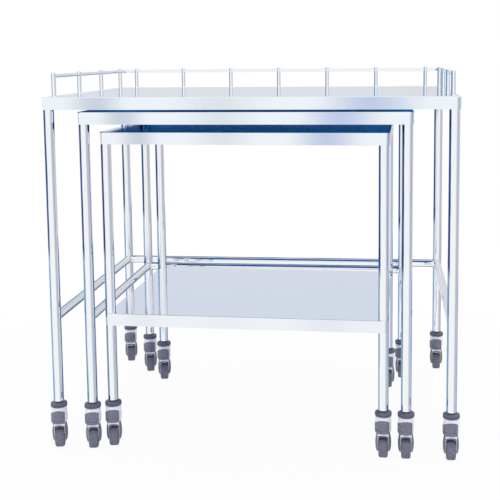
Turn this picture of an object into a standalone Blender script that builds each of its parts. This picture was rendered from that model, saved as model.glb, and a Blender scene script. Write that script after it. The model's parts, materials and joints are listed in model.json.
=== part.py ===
"""A nest of three stainless steel surgical trolleys on swivel castors, in metres.

+Z is up and the front faces -Y. The origin is on the floor, under the middle of everything's bounding box.
The medium trolley stands inside the large one, and the small one, turned a little, inside the medium.
"""

import math
from collections import namedtuple

import bmesh
import bpy
from mathutils import Matrix, Vector

# Fits
GAP = 0.0003
BORE_CLEARANCE = 0.0003
BUMPER_SEAT = 0.0006
WHEEL_SIDE_CLEARANCE = 0.0004
MERGE_DISTANCE = 1e-6

# Tube and sheet shared by the three trolleys
LEG_RADIUS = 0.0127
RAIL_RADIUS = 0.0111
RAIL_HEIGHT = 0.333
SHEET = 0.0015
FOLD_DEPTH = 0.030
BEND_RADIUS = 0.0025
LEG_INSET = SHEET + GAP + LEG_RADIUS

# Sizes of the large trolley
LARGE_WIDTH = 0.996
LARGE_DEPTH = 0.700
LARGE_HEIGHT = 0.875

# The medium trolley takes its size from the room inside the large one
LEG_TO_INSIDE = LEG_INSET + LEG_RADIUS
MEDIUM_SIDE_ROOM = 0.0698
MEDIUM_BACK_ROOM = 0.0658
MEDIUM_HEAD_ROOM = 0.005
MEDIUM_WIDTH = LARGE_WIDTH - 2 * (LEG_TO_INSIDE + MEDIUM_SIDE_ROOM)
MEDIUM_DEPTH = LARGE_DEPTH - LEG_TO_INSIDE - MEDIUM_BACK_ROOM
MEDIUM_HEIGHT = LARGE_HEIGHT - FOLD_DEPTH - MEDIUM_HEAD_ROOM
MEDIUM_SHIFT = -0.0105

# The small trolley takes its size from the room inside the medium one
SMALL_SIDE_ROOM = 0.0233
SMALL_BACK_ROOM = 0.0493
SMALL_HEAD_ROOM = 0.019
SMALL_SET_BACK = 0.0105
SMALL_WIDTH = MEDIUM_WIDTH - 2 * (LEG_TO_INSIDE + SMALL_SIDE_ROOM)
SMALL_DEPTH = MEDIUM_DEPTH - LEG_TO_INSIDE - SMALL_BACK_ROOM - SMALL_SET_BACK
SMALL_HEIGHT = MEDIUM_HEIGHT - FOLD_DEPTH - SMALL_HEAD_ROOM
SMALL_SHIFT = -0.008
SMALL_TURN = math.radians(-1.5)

# Shelf of the small trolley
SHELF_HEIGHT = 0.343
SHELF_SIDE_INSET = 0.007
SHELF_CORNER = 0.005
NOTCH_RADIUS = LEG_RADIUS + 2 * GAP

# Guard rail round the large top
POST_RADIUS = 0.0054
POST_TIP = 0.0022
POST_ABOVE_RAIL = 0.009
GUARD_RADIUS = 0.0044
GUARD_INSET = 0.016
GUARD_CORNER = 0.012
GUARD_HEIGHT = 0.050
SIDE_POSTS = 4
FRONT_POST_INSET = 0.053
LAST_POST_TO_BACK = 0.045
BACK_POSTS = 7
BACK_POST_END = 0.039
GUARD_SIDE = LARGE_WIDTH / 2 - GUARD_INSET
GUARD_BACK = LARGE_DEPTH / 2 - GUARD_INSET
GUARD_FRONT = FRONT_POST_INSET - LARGE_DEPTH / 2
SIDE_POST_PITCH = (GUARD_BACK - LAST_POST_TO_BACK - GUARD_FRONT) / (SIDE_POSTS - 1)
BACK_POST_PITCH = 2 * (GUARD_SIDE - BACK_POST_END) / (BACK_POSTS - 1)

# Wheel and axle
WHEEL_RADIUS = 0.024
WHEEL_WIDTH = 0.0225
WHEEL_ROUNDING = 0.003
HUB_PROUD = 0.00015
AXLE_RADIUS = 0.004
TRAIL = 0.005

# The left castors came to rest turned a little inwards
LEFT_CASTOR_TURN = math.radians(12)

# Fork, measured up from the floor
CHEEK_BOTTOM = 0.0155
CHEEK_WALL = 0.0075
CHEEK_BULGE = 0.003
CHEEK_DOME = 0.003
CHEEK_HALF_TOP = 0.0125
CHEEK_HALF_FOOT = 0.0045
CHEEK_LEVELS = 6
CHEEK_INSIDE = WHEEL_WIDTH / 2 + HUB_PROUD + WHEEL_SIDE_CLEARANCE
CHEEK_OUTSIDE = CHEEK_INSIDE + CHEEK_WALL
WHEEL_TO_CROWN = 0.009
CROWN_THICKNESS = 0.008
CROWN_LEDGE = 0.0005
CROWN_BOTTOM = 2 * WHEEL_RADIUS + WHEEL_TO_CROWN
CROWN_TOP = CROWN_BOTTOM + CROWN_THICKNESS
CHEEK_TOP = CROWN_BOTTOM + CROWN_THICKNESS / 2
HEAD_RADIUS = 0.0194
HEAD_HEIGHT = 0.0429
HEAD_SUNK = 0.0015
HEAD_CHAMFER = 0.0018
HEAD_BOTTOM = CROWN_TOP - HEAD_SUNK
HEAD_TOP = HEAD_BOTTOM + HEAD_HEIGHT

# Swivel pin, bumper and leg end
PIN_RADIUS = 0.005
PIN_LENGTH = 0.0203
PIN_END_CLEARANCE = 0.003
BUMPER_RADIUS = 0.0204
BUMPER_HEIGHT = 0.0105
BUMPER_ROUNDING = 0.003
BUMPER_LIP = 0.0008
NECK_RADIUS = 0.008
NECK_SHOWN = 0.002
LEG_CHAMFER = 0.0024
PIN_BOTTOM = HEAD_TOP - PIN_LENGTH
BUMPER_BOTTOM = HEAD_TOP + BUMPER_SEAT
BUMPER_TOP = BUMPER_BOTTOM + BUMPER_HEIGHT
BUMPER_BORE = NECK_RADIUS + BORE_CLEARANCE
LEG_END = BUMPER_TOP + NECK_SHOWN

# Facets
TUBE_SIDES = 16
BUMPER_SIDES = 12
POST_SIDES = 8
WHEEL_SIDES = 16
CORNER_STEPS = TUBE_SIDES // 4
BEND_SEGMENTS = 2
SHARP_ANGLE = math.radians(35)

# Colour, metallic and roughness of each kind of piece
FINISHES = {
    "top": ((0.80, 0.82, 0.86, 1.0), 1.0, 0.20),
    "shelf": ((0.74, 0.76, 0.82, 1.0), 1.0, 0.28),
    "leg": ((0.78, 0.80, 0.85, 1.0), 1.0, 0.14),
    "rail": ((0.76, 0.78, 0.83, 1.0), 1.0, 0.16),
    "gallery": ((0.80, 0.81, 0.85, 1.0), 1.0, 0.12),
    "bumper": ((0.15, 0.16, 0.19, 1.0), 0.0, 0.50),
    "fork": ((0.22, 0.23, 0.27, 1.0), 0.0, 0.38),
    "wheel": ((0.17, 0.18, 0.21, 1.0), 0.0, 0.60),
}

Trolley = namedtuple("Trolley", "name width depth height middle turn")
Corner = namedtuple("Corner", "name side end")

CORNERS = (
    Corner("fl", -1, -1),
    Corner("fr", 1, -1),
    Corner("rl", -1, 1),
    Corner("rr", 1, 1),
)


def clear_scene():
    """Remove every object that is already in the scene."""
    for item in list(bpy.data.objects):
        bpy.data.objects.remove(item, do_unlink=True)


def make_material(name, colour, metallic, roughness):
    """A plain Principled material."""
    material = bpy.data.materials.new(name)
    material.use_nodes = True
    shader = material.node_tree.nodes["Principled BSDF"]
    shader.inputs["Base Color"].default_value = colour
    shader.inputs["Metallic"].default_value = metallic
    shader.inputs["Roughness"].default_value = roughness
    material.diffuse_color = colour
    return material


def mesh_from(bm, name):
    """Turn a bmesh into a mesh with outward faces and smooth round sides."""
    bmesh.ops.recalc_face_normals(bm, faces=bm.faces)
    mesh = bpy.data.meshes.new(name)
    bm.to_mesh(mesh)
    bm.free()
    mesh.shade_smooth()
    mesh.set_sharp_from_angle(angle=SHARP_ANGLE)
    return mesh


def add_object(name, mesh, parent=None, place=(0, 0, 0)):
    """Link a new object and hang it on its parent."""
    item = bpy.data.objects.new(name, mesh)
    bpy.context.scene.collection.objects.link(item)
    item.parent = parent
    item.location = place
    return item


def add_cutter(name, mesh, parent=None, place=(0, 0, 0)):
    """A helper solid that a Boolean uses and that isn't part of the model."""
    cutter = add_object(name, mesh, parent, place)
    cutter.hide_render = True
    cutter.display_type = "WIRE"
    return cutter


def add_boolean(item, cutter, operation):
    """Cut or join another solid with an exact Boolean modifier."""
    modifier = item.modifiers.new(cutter.name, "BOOLEAN")
    modifier.operation = operation
    modifier.object = cutter
    modifier.solver = "EXACT"


def turned(profile, sides, closed=False):
    """Spin a profile of (radius, height) points round the Z axis.

    A point at radius zero closes the end there, and a closed profile gives a ring.
    """
    bm = bmesh.new()
    points = [bm.verts.new((radius, 0, height)) for radius, height in profile]
    edges = [bm.edges.new(pair) for pair in zip(points, points[1:])]
    if closed:
        edges.append(bm.edges.new((points[-1], points[0])))
    bmesh.ops.spin(
        bm,
        geom=points + edges,
        cent=(0, 0, 0),
        axis=(0, 0, 1),
        angle=math.tau,
        steps=sides,
        use_merge=True,
    )
    bmesh.ops.remove_doubles(bm, verts=bm.verts, dist=MERGE_DISTANCE)
    return bm


def rounded_outline(width, depth, radius, height):
    """Points round a rectangle with arcs at its corners, anticlockwise from the right side."""
    points = []
    for quarter in range(4):
        middle_angle = math.radians(45 + 90 * quarter)
        centre_x = math.copysign(width / 2 - radius, math.cos(middle_angle))
        centre_y = math.copysign(depth / 2 - radius, math.sin(middle_angle))
        for step in range(CORNER_STEPS + 1):
            angle = math.radians(90 * (quarter + step / CORNER_STEPS))
            x = centre_x + radius * math.cos(angle)
            y = centre_y + radius * math.sin(angle)
            points.append((x, y, height))
    return points


def folded_sheet(width, depth, height, corner, name):
    """The outer skin of a sheet with its four edges folded down. Solidify gives its thickness."""
    bm = bmesh.new()
    ring = [bm.verts.new(p) for p in rounded_outline(width, depth, corner, height)]
    plate = bm.faces.new(ring)
    rim = list(plate.edges)
    skirt = bmesh.ops.extrude_edge_only(bm, edges=rim)["geom"]
    lowered = [part for part in skirt if isinstance(part, bmesh.types.BMVert)]
    bmesh.ops.translate(bm, verts=lowered, vec=(0, 0, -FOLD_DEPTH))
    bmesh.ops.bevel(
        bm,
        geom=list(plate.edges),
        offset=BEND_RADIUS,
        segments=BEND_SEGMENTS,
        profile=0.5,
        affect="EDGES",
    )
    bmesh.ops.recalc_face_normals(bm, faces=bm.faces)
    top = max(bm.faces, key=lambda face: face.calc_center_median().z)
    if top.normal.z < 0:
        bmesh.ops.reverse_faces(bm, faces=bm.faces)
    mesh = bpy.data.meshes.new(name)
    bm.to_mesh(mesh)
    bm.free()
    return mesh


def add_folded_sheet(name, width, depth, height, corner, parent, material):
    """A table top or shelf: flat sheet with folded edges, open underneath."""
    mesh = folded_sheet(width, depth, height, corner, name)
    mesh.materials.append(material)
    item = add_object(name, mesh, parent)
    wall = item.modifiers.new("sheet", "SOLIDIFY")
    wall.thickness = SHEET
    wall.offset = -1
    wall.use_even_offset = True
    return item


def leg_places(trolley):
    """Each corner with its leg axis, from the middle of the trolley."""
    for corner in CORNERS:
        x = corner.side * (trolley.width / 2 - LEG_INSET)
        y = corner.end * (trolley.depth / 2 - LEG_INSET)
        yield corner, x, y


def leg_mesh(height):
    """A leg tube with its chamfered end, the neck through the bumper and the swivel pin."""
    top = height - BEND_RADIUS - GAP
    profile = [
        (0, PIN_BOTTOM),
        (PIN_RADIUS, PIN_BOTTOM),
        (PIN_RADIUS, BUMPER_BOTTOM),
        (NECK_RADIUS, BUMPER_BOTTOM),
        (NECK_RADIUS, LEG_END),
        (LEG_RADIUS - LEG_CHAMFER, LEG_END),
        (LEG_RADIUS, LEG_END + LEG_CHAMFER),
        (LEG_RADIUS, top),
        (0, top),
    ]
    return mesh_from(turned(profile, TUBE_SIDES), "leg")


def bumper_mesh():
    """The round buffer ring above each castor, with a sloped upper side."""
    profile = [
        (BUMPER_BORE, BUMPER_BOTTOM),
        (BUMPER_RADIUS - BUMPER_ROUNDING, BUMPER_BOTTOM),
        (BUMPER_RADIUS, BUMPER_BOTTOM + BUMPER_ROUNDING),
        (BUMPER_RADIUS, BUMPER_TOP - 2 * BUMPER_ROUNDING),
        (LEG_RADIUS + BUMPER_LIP, BUMPER_TOP),
        (BUMPER_BORE, BUMPER_TOP),
    ]
    return mesh_from(turned(profile, BUMPER_SIDES, closed=True), "bumper")


def wheel_mesh():
    """A solid wheel with a rounded tread, its axis along X and its centre at the origin."""
    half_tread = WHEEL_WIDTH / 2
    half_hub = half_tread + HUB_PROUD
    bore = AXLE_RADIUS + BORE_CLEARANCE
    shoulder = WHEEL_RADIUS - WHEEL_ROUNDING
    tread_edge = half_tread - WHEEL_ROUNDING
    profile = [
        (bore, -half_hub),
        (shoulder, -half_tread),
        (WHEEL_RADIUS, -tread_edge),
        (WHEEL_RADIUS, tread_edge),
        (shoulder, half_tread),
        (bore, half_hub),
    ]
    bm = turned(profile, WHEEL_SIDES, closed=True)
    bmesh.ops.rotate(bm, verts=bm.verts, cent=(0, 0, 0), matrix=Matrix.Rotation(math.pi / 2, 3, "Y"))
    return mesh_from(bm, "wheel")


def head_mesh():
    """The round swivel head with the blind socket that turns on the leg's pin."""
    socket = PIN_RADIUS + BORE_CLEARANCE
    profile = [
        (0, PIN_BOTTOM - PIN_END_CLEARANCE),
        (socket, PIN_BOTTOM - PIN_END_CLEARANCE),
        (socket, HEAD_TOP),
        (HEAD_RADIUS - HEAD_CHAMFER, HEAD_TOP),
        (HEAD_RADIUS, HEAD_TOP - HEAD_CHAMFER),
        (HEAD_RADIUS, HEAD_BOTTOM),
        (0, HEAD_BOTTOM),
    ]
    return mesh_from(turned(profile, TUBE_SIDES), "head")


def cheek_half_depth(height):
    """Half the depth of a fork cheek: round below the axle, widening slowly above it."""
    if height < WHEEL_RADIUS:
        radius = WHEEL_RADIUS - CHEEK_BOTTOM
        across = math.sqrt(max(radius**2 - (WHEEL_RADIUS - height) ** 2, 0))
        return max(across, CHEEK_HALF_FOOT)
    share = (height - WHEEL_RADIUS) / (CHEEK_TOP - WHEEL_RADIUS)
    narrow = WHEEL_RADIUS - CHEEK_BOTTOM
    return narrow + share * (CHEEK_HALF_TOP - narrow)


def cheek_ring(side, height):
    """Five points round one level of a cheek, bulging outwards at mid height."""
    middle = (CHEEK_BOTTOM + CHEEK_TOP) / 2
    share = (height - middle) / (CHEEK_TOP - middle)
    outside = CHEEK_OUTSIDE - CHEEK_BULGE * share**2
    half = cheek_half_depth(height)
    across = [
        (CHEEK_INSIDE, -half),
        (CHEEK_INSIDE, half),
        (outside - CHEEK_DOME, half),
        (outside, 0),
        (outside - CHEEK_DOME, -half),
    ]
    return [(side * x, TRAIL + y, height) for x, y in across]


def cheeks_mesh():
    """Both domed fork cheeks, one each side of the wheel."""
    bm = bmesh.new()
    for side in (-1, 1):
        rings = []
        for level in range(CHEEK_LEVELS + 1):
            height = CHEEK_BOTTOM + (CHEEK_TOP - CHEEK_BOTTOM) * level / CHEEK_LEVELS
            rings.append([bm.verts.new(p) for p in cheek_ring(side, height)])
        for lower, upper in zip(rings, rings[1:]):
            for i in range(len(lower)):
                j = (i + 1) % len(lower)
                bm.faces.new((lower[i], lower[j], upper[j], upper[i]))
        bm.faces.new(rings[0])
        bm.faces.new(rings[-1])
    return mesh_from(bm, "cheeks")


def block_mesh(low, high, name):
    """A box between two opposite corners."""
    bm = bmesh.new()
    bmesh.ops.create_cube(bm, size=1)
    size = Vector(high) - Vector(low)
    middle = (Vector(high) + Vector(low)) / 2
    bmesh.ops.scale(bm, vec=size, verts=bm.verts)
    bmesh.ops.translate(bm, vec=middle, verts=bm.verts)
    return mesh_from(bm, name)


def rod(bm, start, end, radius, sides):
    """Add a closed cylinder between two points to a bmesh."""
    line = Vector(end) - Vector(start)
    turn = Vector((0, 0, 1)).rotation_difference(line).to_matrix().to_4x4()
    matrix = Matrix.Translation((Vector(start) + Vector(end)) / 2) @ turn
    bmesh.ops.create_cone(
        bm,
        cap_ends=True,
        segments=sides,
        radius1=radius,
        radius2=radius,
        depth=line.length,
        matrix=matrix,
    )


def rod_mesh(start, end, radius, sides, name):
    """One closed cylinder as a mesh."""
    bm = bmesh.new()
    rod(bm, start, end, radius, sides)
    return mesh_from(bm, name)


def evaluated_copy(item, name):
    """The mesh that an object's modifiers give."""
    graph = bpy.context.evaluated_depsgraph_get()
    mesh = bpy.data.meshes.new_from_object(item.evaluated_get(graph))
    mesh.name = name
    mesh.shade_smooth()
    mesh.set_sharp_from_angle(angle=SHARP_ANGLE)
    return mesh


def fork_mesh():
    """Swivel head, crown, cheeks and axle joined into one piece, its origin under the swivel axis."""
    head = add_object("head", head_mesh())
    half_width = CHEEK_OUTSIDE - CHEEK_BULGE + CROWN_LEDGE
    half_depth = CHEEK_HALF_TOP + CROWN_LEDGE
    low = (-half_width, -half_depth, CROWN_BOTTOM)
    high = (half_width, TRAIL + half_depth, CROWN_TOP)
    axle_half = (CHEEK_INSIDE + CHEEK_OUTSIDE) / 2
    axle_start = (-axle_half, TRAIL, WHEEL_RADIUS)
    axle_end = (axle_half, TRAIL, WHEEL_RADIUS)
    helpers = [
        add_cutter("crown", block_mesh(low, high, "crown")),
        add_cutter("cheeks", cheeks_mesh()),
        add_cutter("axle", rod_mesh(axle_start, axle_end, AXLE_RADIUS, BUMPER_SIDES, "axle")),
    ]
    for helper in helpers:
        add_boolean(head, helper, "UNION")
    mesh = evaluated_copy(head, "fork")
    for item in [head] + helpers:
        bpy.data.objects.remove(item, do_unlink=True)
    return mesh


def guard_path():
    """Points along the guard rail: up the left side, across the back and down the right side."""
    height = LARGE_HEIGHT + GUARD_HEIGHT
    points = [Vector((-GUARD_SIDE, GUARD_FRONT, height))]
    for direction, start in ((-1, 180), (1, 90)):
        centre_x = direction * (GUARD_SIDE - GUARD_CORNER)
        for step in range(CORNER_STEPS + 1):
            angle = math.radians(start - 90 * step / CORNER_STEPS)
            x = centre_x + GUARD_CORNER * math.cos(angle)
            y = GUARD_BACK - GUARD_CORNER + GUARD_CORNER * math.sin(angle)
            points.append(Vector((x, y, height)))
    points.append(Vector((GUARD_SIDE, GUARD_FRONT, height)))
    return points


def swept_tube_mesh(path, radius, sides, name):
    """A round tube along a level path, with closed ends."""
    bm = bmesh.new()
    rings = []
    for i, point in enumerate(path):
        before = (point - path[max(i - 1, 0)]).normalized()
        after = (path[min(i + 1, len(path) - 1)] - point).normalized()
        along = (before + after).normalized()
        across = along.cross(Vector((0, 0, 1)))
        stretch = 1 / along.dot(after if i == 0 else before)
        ring = []
        for k in range(sides):
            angle = math.tau * (k + 0.5) / sides
            out = across * math.cos(angle) * radius * stretch
            up = Vector((0, 0, math.sin(angle) * radius))
            ring.append(bm.verts.new(point + out + up))
        rings.append(ring)
    for near, far in zip(rings, rings[1:]):
        for k in range(sides):
            m = (k + 1) % sides
            bm.faces.new((near[k], near[m], far[m], far[k]))
    bm.faces.new(rings[0])
    bm.faces.new(rings[-1])
    return mesh_from(bm, name)


def post_places():
    """Where the guard rail's posts stand on the large top."""
    for n in range(SIDE_POSTS):
        y = GUARD_FRONT + n * SIDE_POST_PITCH
        yield -GUARD_SIDE, y
        yield GUARD_SIDE, y
    for n in range(BACK_POSTS):
        yield (n - (BACK_POSTS - 1) / 2) * BACK_POST_PITCH, GUARD_BACK


def posts_mesh():
    """All the guard rail's posts, each with a chamfered tip."""
    low = LARGE_HEIGHT + GAP
    high = LARGE_HEIGHT + GUARD_HEIGHT + POST_ABOVE_RAIL
    profile = [
        (0, low),
        (POST_RADIUS, low),
        (POST_RADIUS, high - POST_TIP),
        (POST_RADIUS - POST_TIP, high),
        (0, high),
    ]
    whole = bmesh.new()
    for x, y in post_places():
        post = turned(profile, POST_SIDES)
        bmesh.ops.translate(post, vec=(x, y, 0), verts=post.verts)
        loose = bpy.data.meshes.new("post")
        post.to_mesh(loose)
        post.free()
        whole.from_mesh(loose)
        bpy.data.meshes.remove(loose)
    return mesh_from(whole, "posts")


def add_gallery(parent, material):
    """The guard rail and its posts as one welded piece."""
    mesh = swept_tube_mesh(guard_path(), GUARD_RADIUS, POST_SIDES, "gallery")
    mesh.materials.append(material)
    gallery = add_object("large_gallery", mesh, parent)
    posts = add_cutter("gallery_posts", posts_mesh(), parent)
    add_boolean(gallery, posts, "UNION")


def add_leg_cutter(trolley, parent, radius):
    """Four upright cylinders where the legs stand, a clearance wider than the legs."""
    bm = bmesh.new()
    for _, x, y in leg_places(trolley):
        rod(bm, (x, y, LEG_END), (x, y, trolley.height), radius, TUBE_SIDES)
    return add_cutter(trolley.name + "_leg_space", mesh_from(bm, "leg_space"), parent)


def add_side_rail_cutter(trolley, parent):
    """Two cylinders along the side rails, a clearance wider than the rails."""
    bm = bmesh.new()
    x = trolley.width / 2 - LEG_INSET
    y = trolley.depth / 2 - LEG_INSET
    for side in (-1, 1):
        start = (side * x, -y, RAIL_HEIGHT)
        end = (side * x, y, RAIL_HEIGHT)
        rod(bm, start, end, RAIL_RADIUS + GAP, TUBE_SIDES)
    return add_cutter(trolley.name + "_side_space", mesh_from(bm, "side_space"), parent)


def add_rails(trolley, parent, material):
    """Left, right and rear lower rails, their ends shaped to the legs they meet."""
    x = trolley.width / 2 - LEG_INSET
    y = trolley.depth / 2 - LEG_INSET
    legs = add_leg_cutter(trolley, parent, LEG_RADIUS + GAP)
    sides = add_side_rail_cutter(trolley, parent)
    runs = {
        "left": ((-x, -y, RAIL_HEIGHT), (-x, y, RAIL_HEIGHT)),
        "right": ((x, -y, RAIL_HEIGHT), (x, y, RAIL_HEIGHT)),
        "rear": ((-x, y, RAIL_HEIGHT), (x, y, RAIL_HEIGHT)),
    }
    for name, (start, end) in runs.items():
        mesh = rod_mesh(start, end, RAIL_RADIUS, TUBE_SIDES, "rail")
        mesh.materials.append(material)
        rail = add_object(f"{trolley.name}_rail_{name}", mesh, parent)
        add_boolean(rail, legs, "DIFFERENCE")
        if name == "rear":
            add_boolean(rail, sides, "DIFFERENCE")


def add_shelf(trolley, parent, material):
    """The small trolley's solid shelf, with its corners cut round the legs."""
    width = trolley.width - 2 * SHELF_SIDE_INSET
    shelf = add_folded_sheet(
        "small_shelf", width, trolley.depth, SHELF_HEIGHT, SHELF_CORNER, parent, material
    )
    add_boolean(shelf, add_leg_cutter(trolley, parent, NOTCH_RADIUS), "DIFFERENCE")


def add_castor(trolley, corner, x, y, parent, meshes):
    """One castor: bumper on the leg, swivelling fork under it, and the wheel in the fork."""
    tag = f"{trolley.name}_{{}}_{corner.name}"
    add_object(tag.format("bumper"), meshes["bumper"], parent, (x, y, 0))
    fork = add_object(tag.format("fork"), meshes["fork"], parent, (x, y, 0))
    if corner.side < 0:
        fork.rotation_euler = (0, 0, LEFT_CASTOR_TURN)
    add_object(tag.format("wheel"), meshes["wheel"], fork, (0, TRAIL, WHEEL_RADIUS))


def add_trolley(trolley, materials, meshes):
    """One trolley on its own empty: folded top, four legs and four castors."""
    frame = add_object(trolley.name + "_frame", None, None, trolley.middle)
    frame.rotation_euler = (0, 0, trolley.turn)
    add_folded_sheet(
        trolley.name + "_top",
        trolley.width,
        trolley.depth,
        trolley.height,
        LEG_INSET,
        frame,
        materials["top"],
    )
    leg = leg_mesh(trolley.height)
    leg.materials.append(materials["leg"])
    for corner, x, y in leg_places(trolley):
        add_object(f"{trolley.name}_leg_{corner.name}", leg, frame, (x, y, 0))
        add_castor(trolley, corner, x, y, frame, meshes)
    return frame


def main():
    """Build the three nested trolleys."""
    clear_scene()
    materials = {name: make_material(name, *finish) for name, finish in FINISHES.items()}
    meshes = {"bumper": bumper_mesh(), "fork": fork_mesh(), "wheel": wheel_mesh()}
    for name, mesh in meshes.items():
        mesh.materials.clear()
        mesh.materials.append(materials[name])
    # The rear left wheel reaches further out than the front bumpers, so the trolley stands a little forward
    tread_edge = WHEEL_WIDTH / 2 - WHEEL_ROUNDING
    turned_reach = tread_edge * math.sin(LEFT_CASTOR_TURN)
    rear_reach = (TRAIL + WHEEL_RADIUS) * math.cos(LEFT_CASTOR_TURN) + turned_reach
    large_y = -(rear_reach - BUMPER_RADIUS) / 2
    front = large_y - LARGE_DEPTH / 2
    medium_middle = (MEDIUM_SHIFT, front + MEDIUM_DEPTH / 2, 0)
    small_middle = (SMALL_SHIFT, front + SMALL_DEPTH / 2 + SMALL_SET_BACK, 0)
    large = Trolley("large", LARGE_WIDTH, LARGE_DEPTH, LARGE_HEIGHT, (0, large_y, 0), 0)
    medium = Trolley("medium", MEDIUM_WIDTH, MEDIUM_DEPTH, MEDIUM_HEIGHT, medium_middle, 0)
    small = Trolley("small", SMALL_WIDTH, SMALL_DEPTH, SMALL_HEIGHT, small_middle, SMALL_TURN)
    frames = [add_trolley(trolley, materials, meshes) for trolley in (large, medium, small)]
    add_rails(large, frames[0], materials["rail"])
    add_rails(medium, frames[1], materials["rail"])
    add_shelf(small, frames[2], materials["shelf"])
    add_gallery(frames[0], materials["gallery"])


main()
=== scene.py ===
"""Looks of a nest of three polished steel surgical trolleys on swivel castors, in metres.

Each trolley is a class that builds its folded sheets, tubes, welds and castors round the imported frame, and
dresses them in its own finishes. A studio class adds the floor, the surroundings that the steel mirrors and
the camera.
"""

import json
import logging
import math
from dataclasses import dataclass, field
from enum import Enum
from typing import Sequence

import bmesh
import bpy
from mathutils import Matrix, Vector

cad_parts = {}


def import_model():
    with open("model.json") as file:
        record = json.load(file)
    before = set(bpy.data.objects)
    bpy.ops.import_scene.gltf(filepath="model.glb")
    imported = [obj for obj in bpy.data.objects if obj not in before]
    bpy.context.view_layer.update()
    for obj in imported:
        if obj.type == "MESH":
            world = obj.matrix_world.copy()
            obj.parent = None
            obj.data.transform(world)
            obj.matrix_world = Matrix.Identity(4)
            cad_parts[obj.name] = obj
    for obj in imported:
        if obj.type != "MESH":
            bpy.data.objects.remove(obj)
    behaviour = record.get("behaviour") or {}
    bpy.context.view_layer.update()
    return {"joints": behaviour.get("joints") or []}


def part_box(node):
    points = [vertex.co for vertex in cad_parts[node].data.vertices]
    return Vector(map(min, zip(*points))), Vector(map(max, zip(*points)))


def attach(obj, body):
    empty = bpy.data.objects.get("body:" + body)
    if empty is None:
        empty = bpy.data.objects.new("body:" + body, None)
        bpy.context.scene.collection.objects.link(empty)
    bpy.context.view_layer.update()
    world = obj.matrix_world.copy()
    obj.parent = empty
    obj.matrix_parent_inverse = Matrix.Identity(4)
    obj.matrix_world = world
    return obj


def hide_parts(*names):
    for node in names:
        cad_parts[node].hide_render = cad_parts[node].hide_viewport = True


LOG = logging.getLogger("trolley_nest")

Colour = tuple[float, float, float]
Point = tuple[float, float, float]
Pair = tuple[float, float]
Profile = Sequence[Pair]
Ring = list[bmesh.types.BMVert]

SHARP_ANGLE = math.radians(35)
SHEET_SHARP_ANGLE = math.radians(50)
MERGE_DISTANCE = 1e-6


class Grain(Enum):
    """The way a steel surface was brushed or drawn, as a stretch of its fine pattern along X, Y and Z."""

    ALONG_X = (0.02, 1.0, 1.0)
    ALONG_Y = (1.0, 0.02, 1.0)
    ALONG_Z = (1.0, 1.0, 0.02)
    NONE = (1.0, 1.0, 1.0)


class End(Enum):
    """A corner of a trolley, as the sign of its X and of its Y."""

    FRONT_LEFT = ("fl", -1, -1)
    FRONT_RIGHT = ("fr", 1, -1)
    REAR_LEFT = ("rl", -1, 1)
    REAR_RIGHT = ("rr", 1, 1)

    @property
    def tag(self) -> str:
        """Two letters that end the names of the corner's pieces."""
        return self.value[0]


class NodeBench:
    """Adds nodes to one tree and joins their sockets.

    Attributes:
        tree: The tree that the nodes go into.
    """

    def __init__(self, tree: bpy.types.NodeTree) -> None:
        """Keep the tree."""
        self.tree = tree

    def add(self, kind: str, **settings: object) -> bpy.types.Node:
        """Add a node.

        Args:
            kind: The node's type name.
            settings: Properties to set on the node.

        Returns:
            The new node.
        """
        node = self.tree.nodes.new(kind)
        for name, value in settings.items():
            setattr(node, name, value)
        return node

    def feed(self, socket: bpy.types.NodeSocket, value: object) -> None:
        """Join an output to an input socket, or set the input's own value.

        Args:
            socket: The input to fill.
            value: An output socket, a number or a colour.
        """
        if isinstance(value, bpy.types.NodeSocket):
            self.tree.links.new(value, socket)
        else:
            socket.default_value = value

    def math(self, operation: str, first: object, second: object = 0.0) -> bpy.types.NodeSocket:
        """Add a Math node and return its result.

        Args:
            operation: The node's operation.
            first: A number or an output socket.
            second: A number or an output socket.

        Returns:
            The result socket.
        """
        node = self.add("ShaderNodeMath", operation=operation)
        self.feed(node.inputs[0], first)
        self.feed(node.inputs[1], second)
        return node.outputs[0]

    def ramp(self, value: object, low: float, high: float) -> bpy.types.NodeSocket:
        """Rise smoothly from 0 at low to 1 at high, or fall where high is the smaller.

        Args:
            value: The number or socket to read.
            low: Where the result is 0.
            high: Where the result is 1.

        Returns:
            The result socket.
        """
        node = self.add("ShaderNodeMapRange", interpolation_type="SMOOTHSTEP")
        start, stop, first, last = (low, high, 0.0, 1.0) if low < high else (high, low, 1.0, 0.0)
        for socket, number in zip(node.inputs[1:5], (start, stop, first, last)):
            socket.default_value = number
        self.feed(node.inputs[0], value)
        return node.outputs[0]

    def spread(self, value: object, low: float, high: float) -> bpy.types.NodeSocket:
        """Stretch a 0 to 1 value over a range.

        Args:
            value: The socket to read.
            low: The result at 0.
            high: The result at 1.

        Returns:
            The result socket.
        """
        node = self.add("ShaderNodeMapRange")
        node.inputs["To Min"].default_value = low
        node.inputs["To Max"].default_value = high
        self.feed(node.inputs["Value"], value)
        return node.outputs["Result"]

    def blend(self, share: object, first: object, second: object) -> bpy.types.NodeSocket:
        """Mix two colours.

        Args:
            share: How much of the second colour, from 0 to 1.
            first: A colour or socket.
            second: A colour or socket.

        Returns:
            The mixed colour.
        """
        node = self.add("ShaderNodeMix", data_type="RGBA")
        self.feed(node.inputs[0], share)
        self.feed(node.inputs[6], four(first))
        self.feed(node.inputs[7], four(second))
        return node.outputs[2]

    def noise(self, place: bpy.types.NodeSocket, scale: float, detail: float) -> bpy.types.NodeSocket:
        """Add a noise texture and return its value at a place.

        Args:
            place: Coordinates.
            scale: Cells in a metre.
            detail: Finer layers.

        Returns:
            The noise value.
        """
        node = self.add("ShaderNodeTexNoise")
        node.inputs["Scale"].default_value = scale
        node.inputs["Detail"].default_value = detail
        self.feed(node.inputs["Vector"], place)
        return node.outputs["Fac"]


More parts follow.
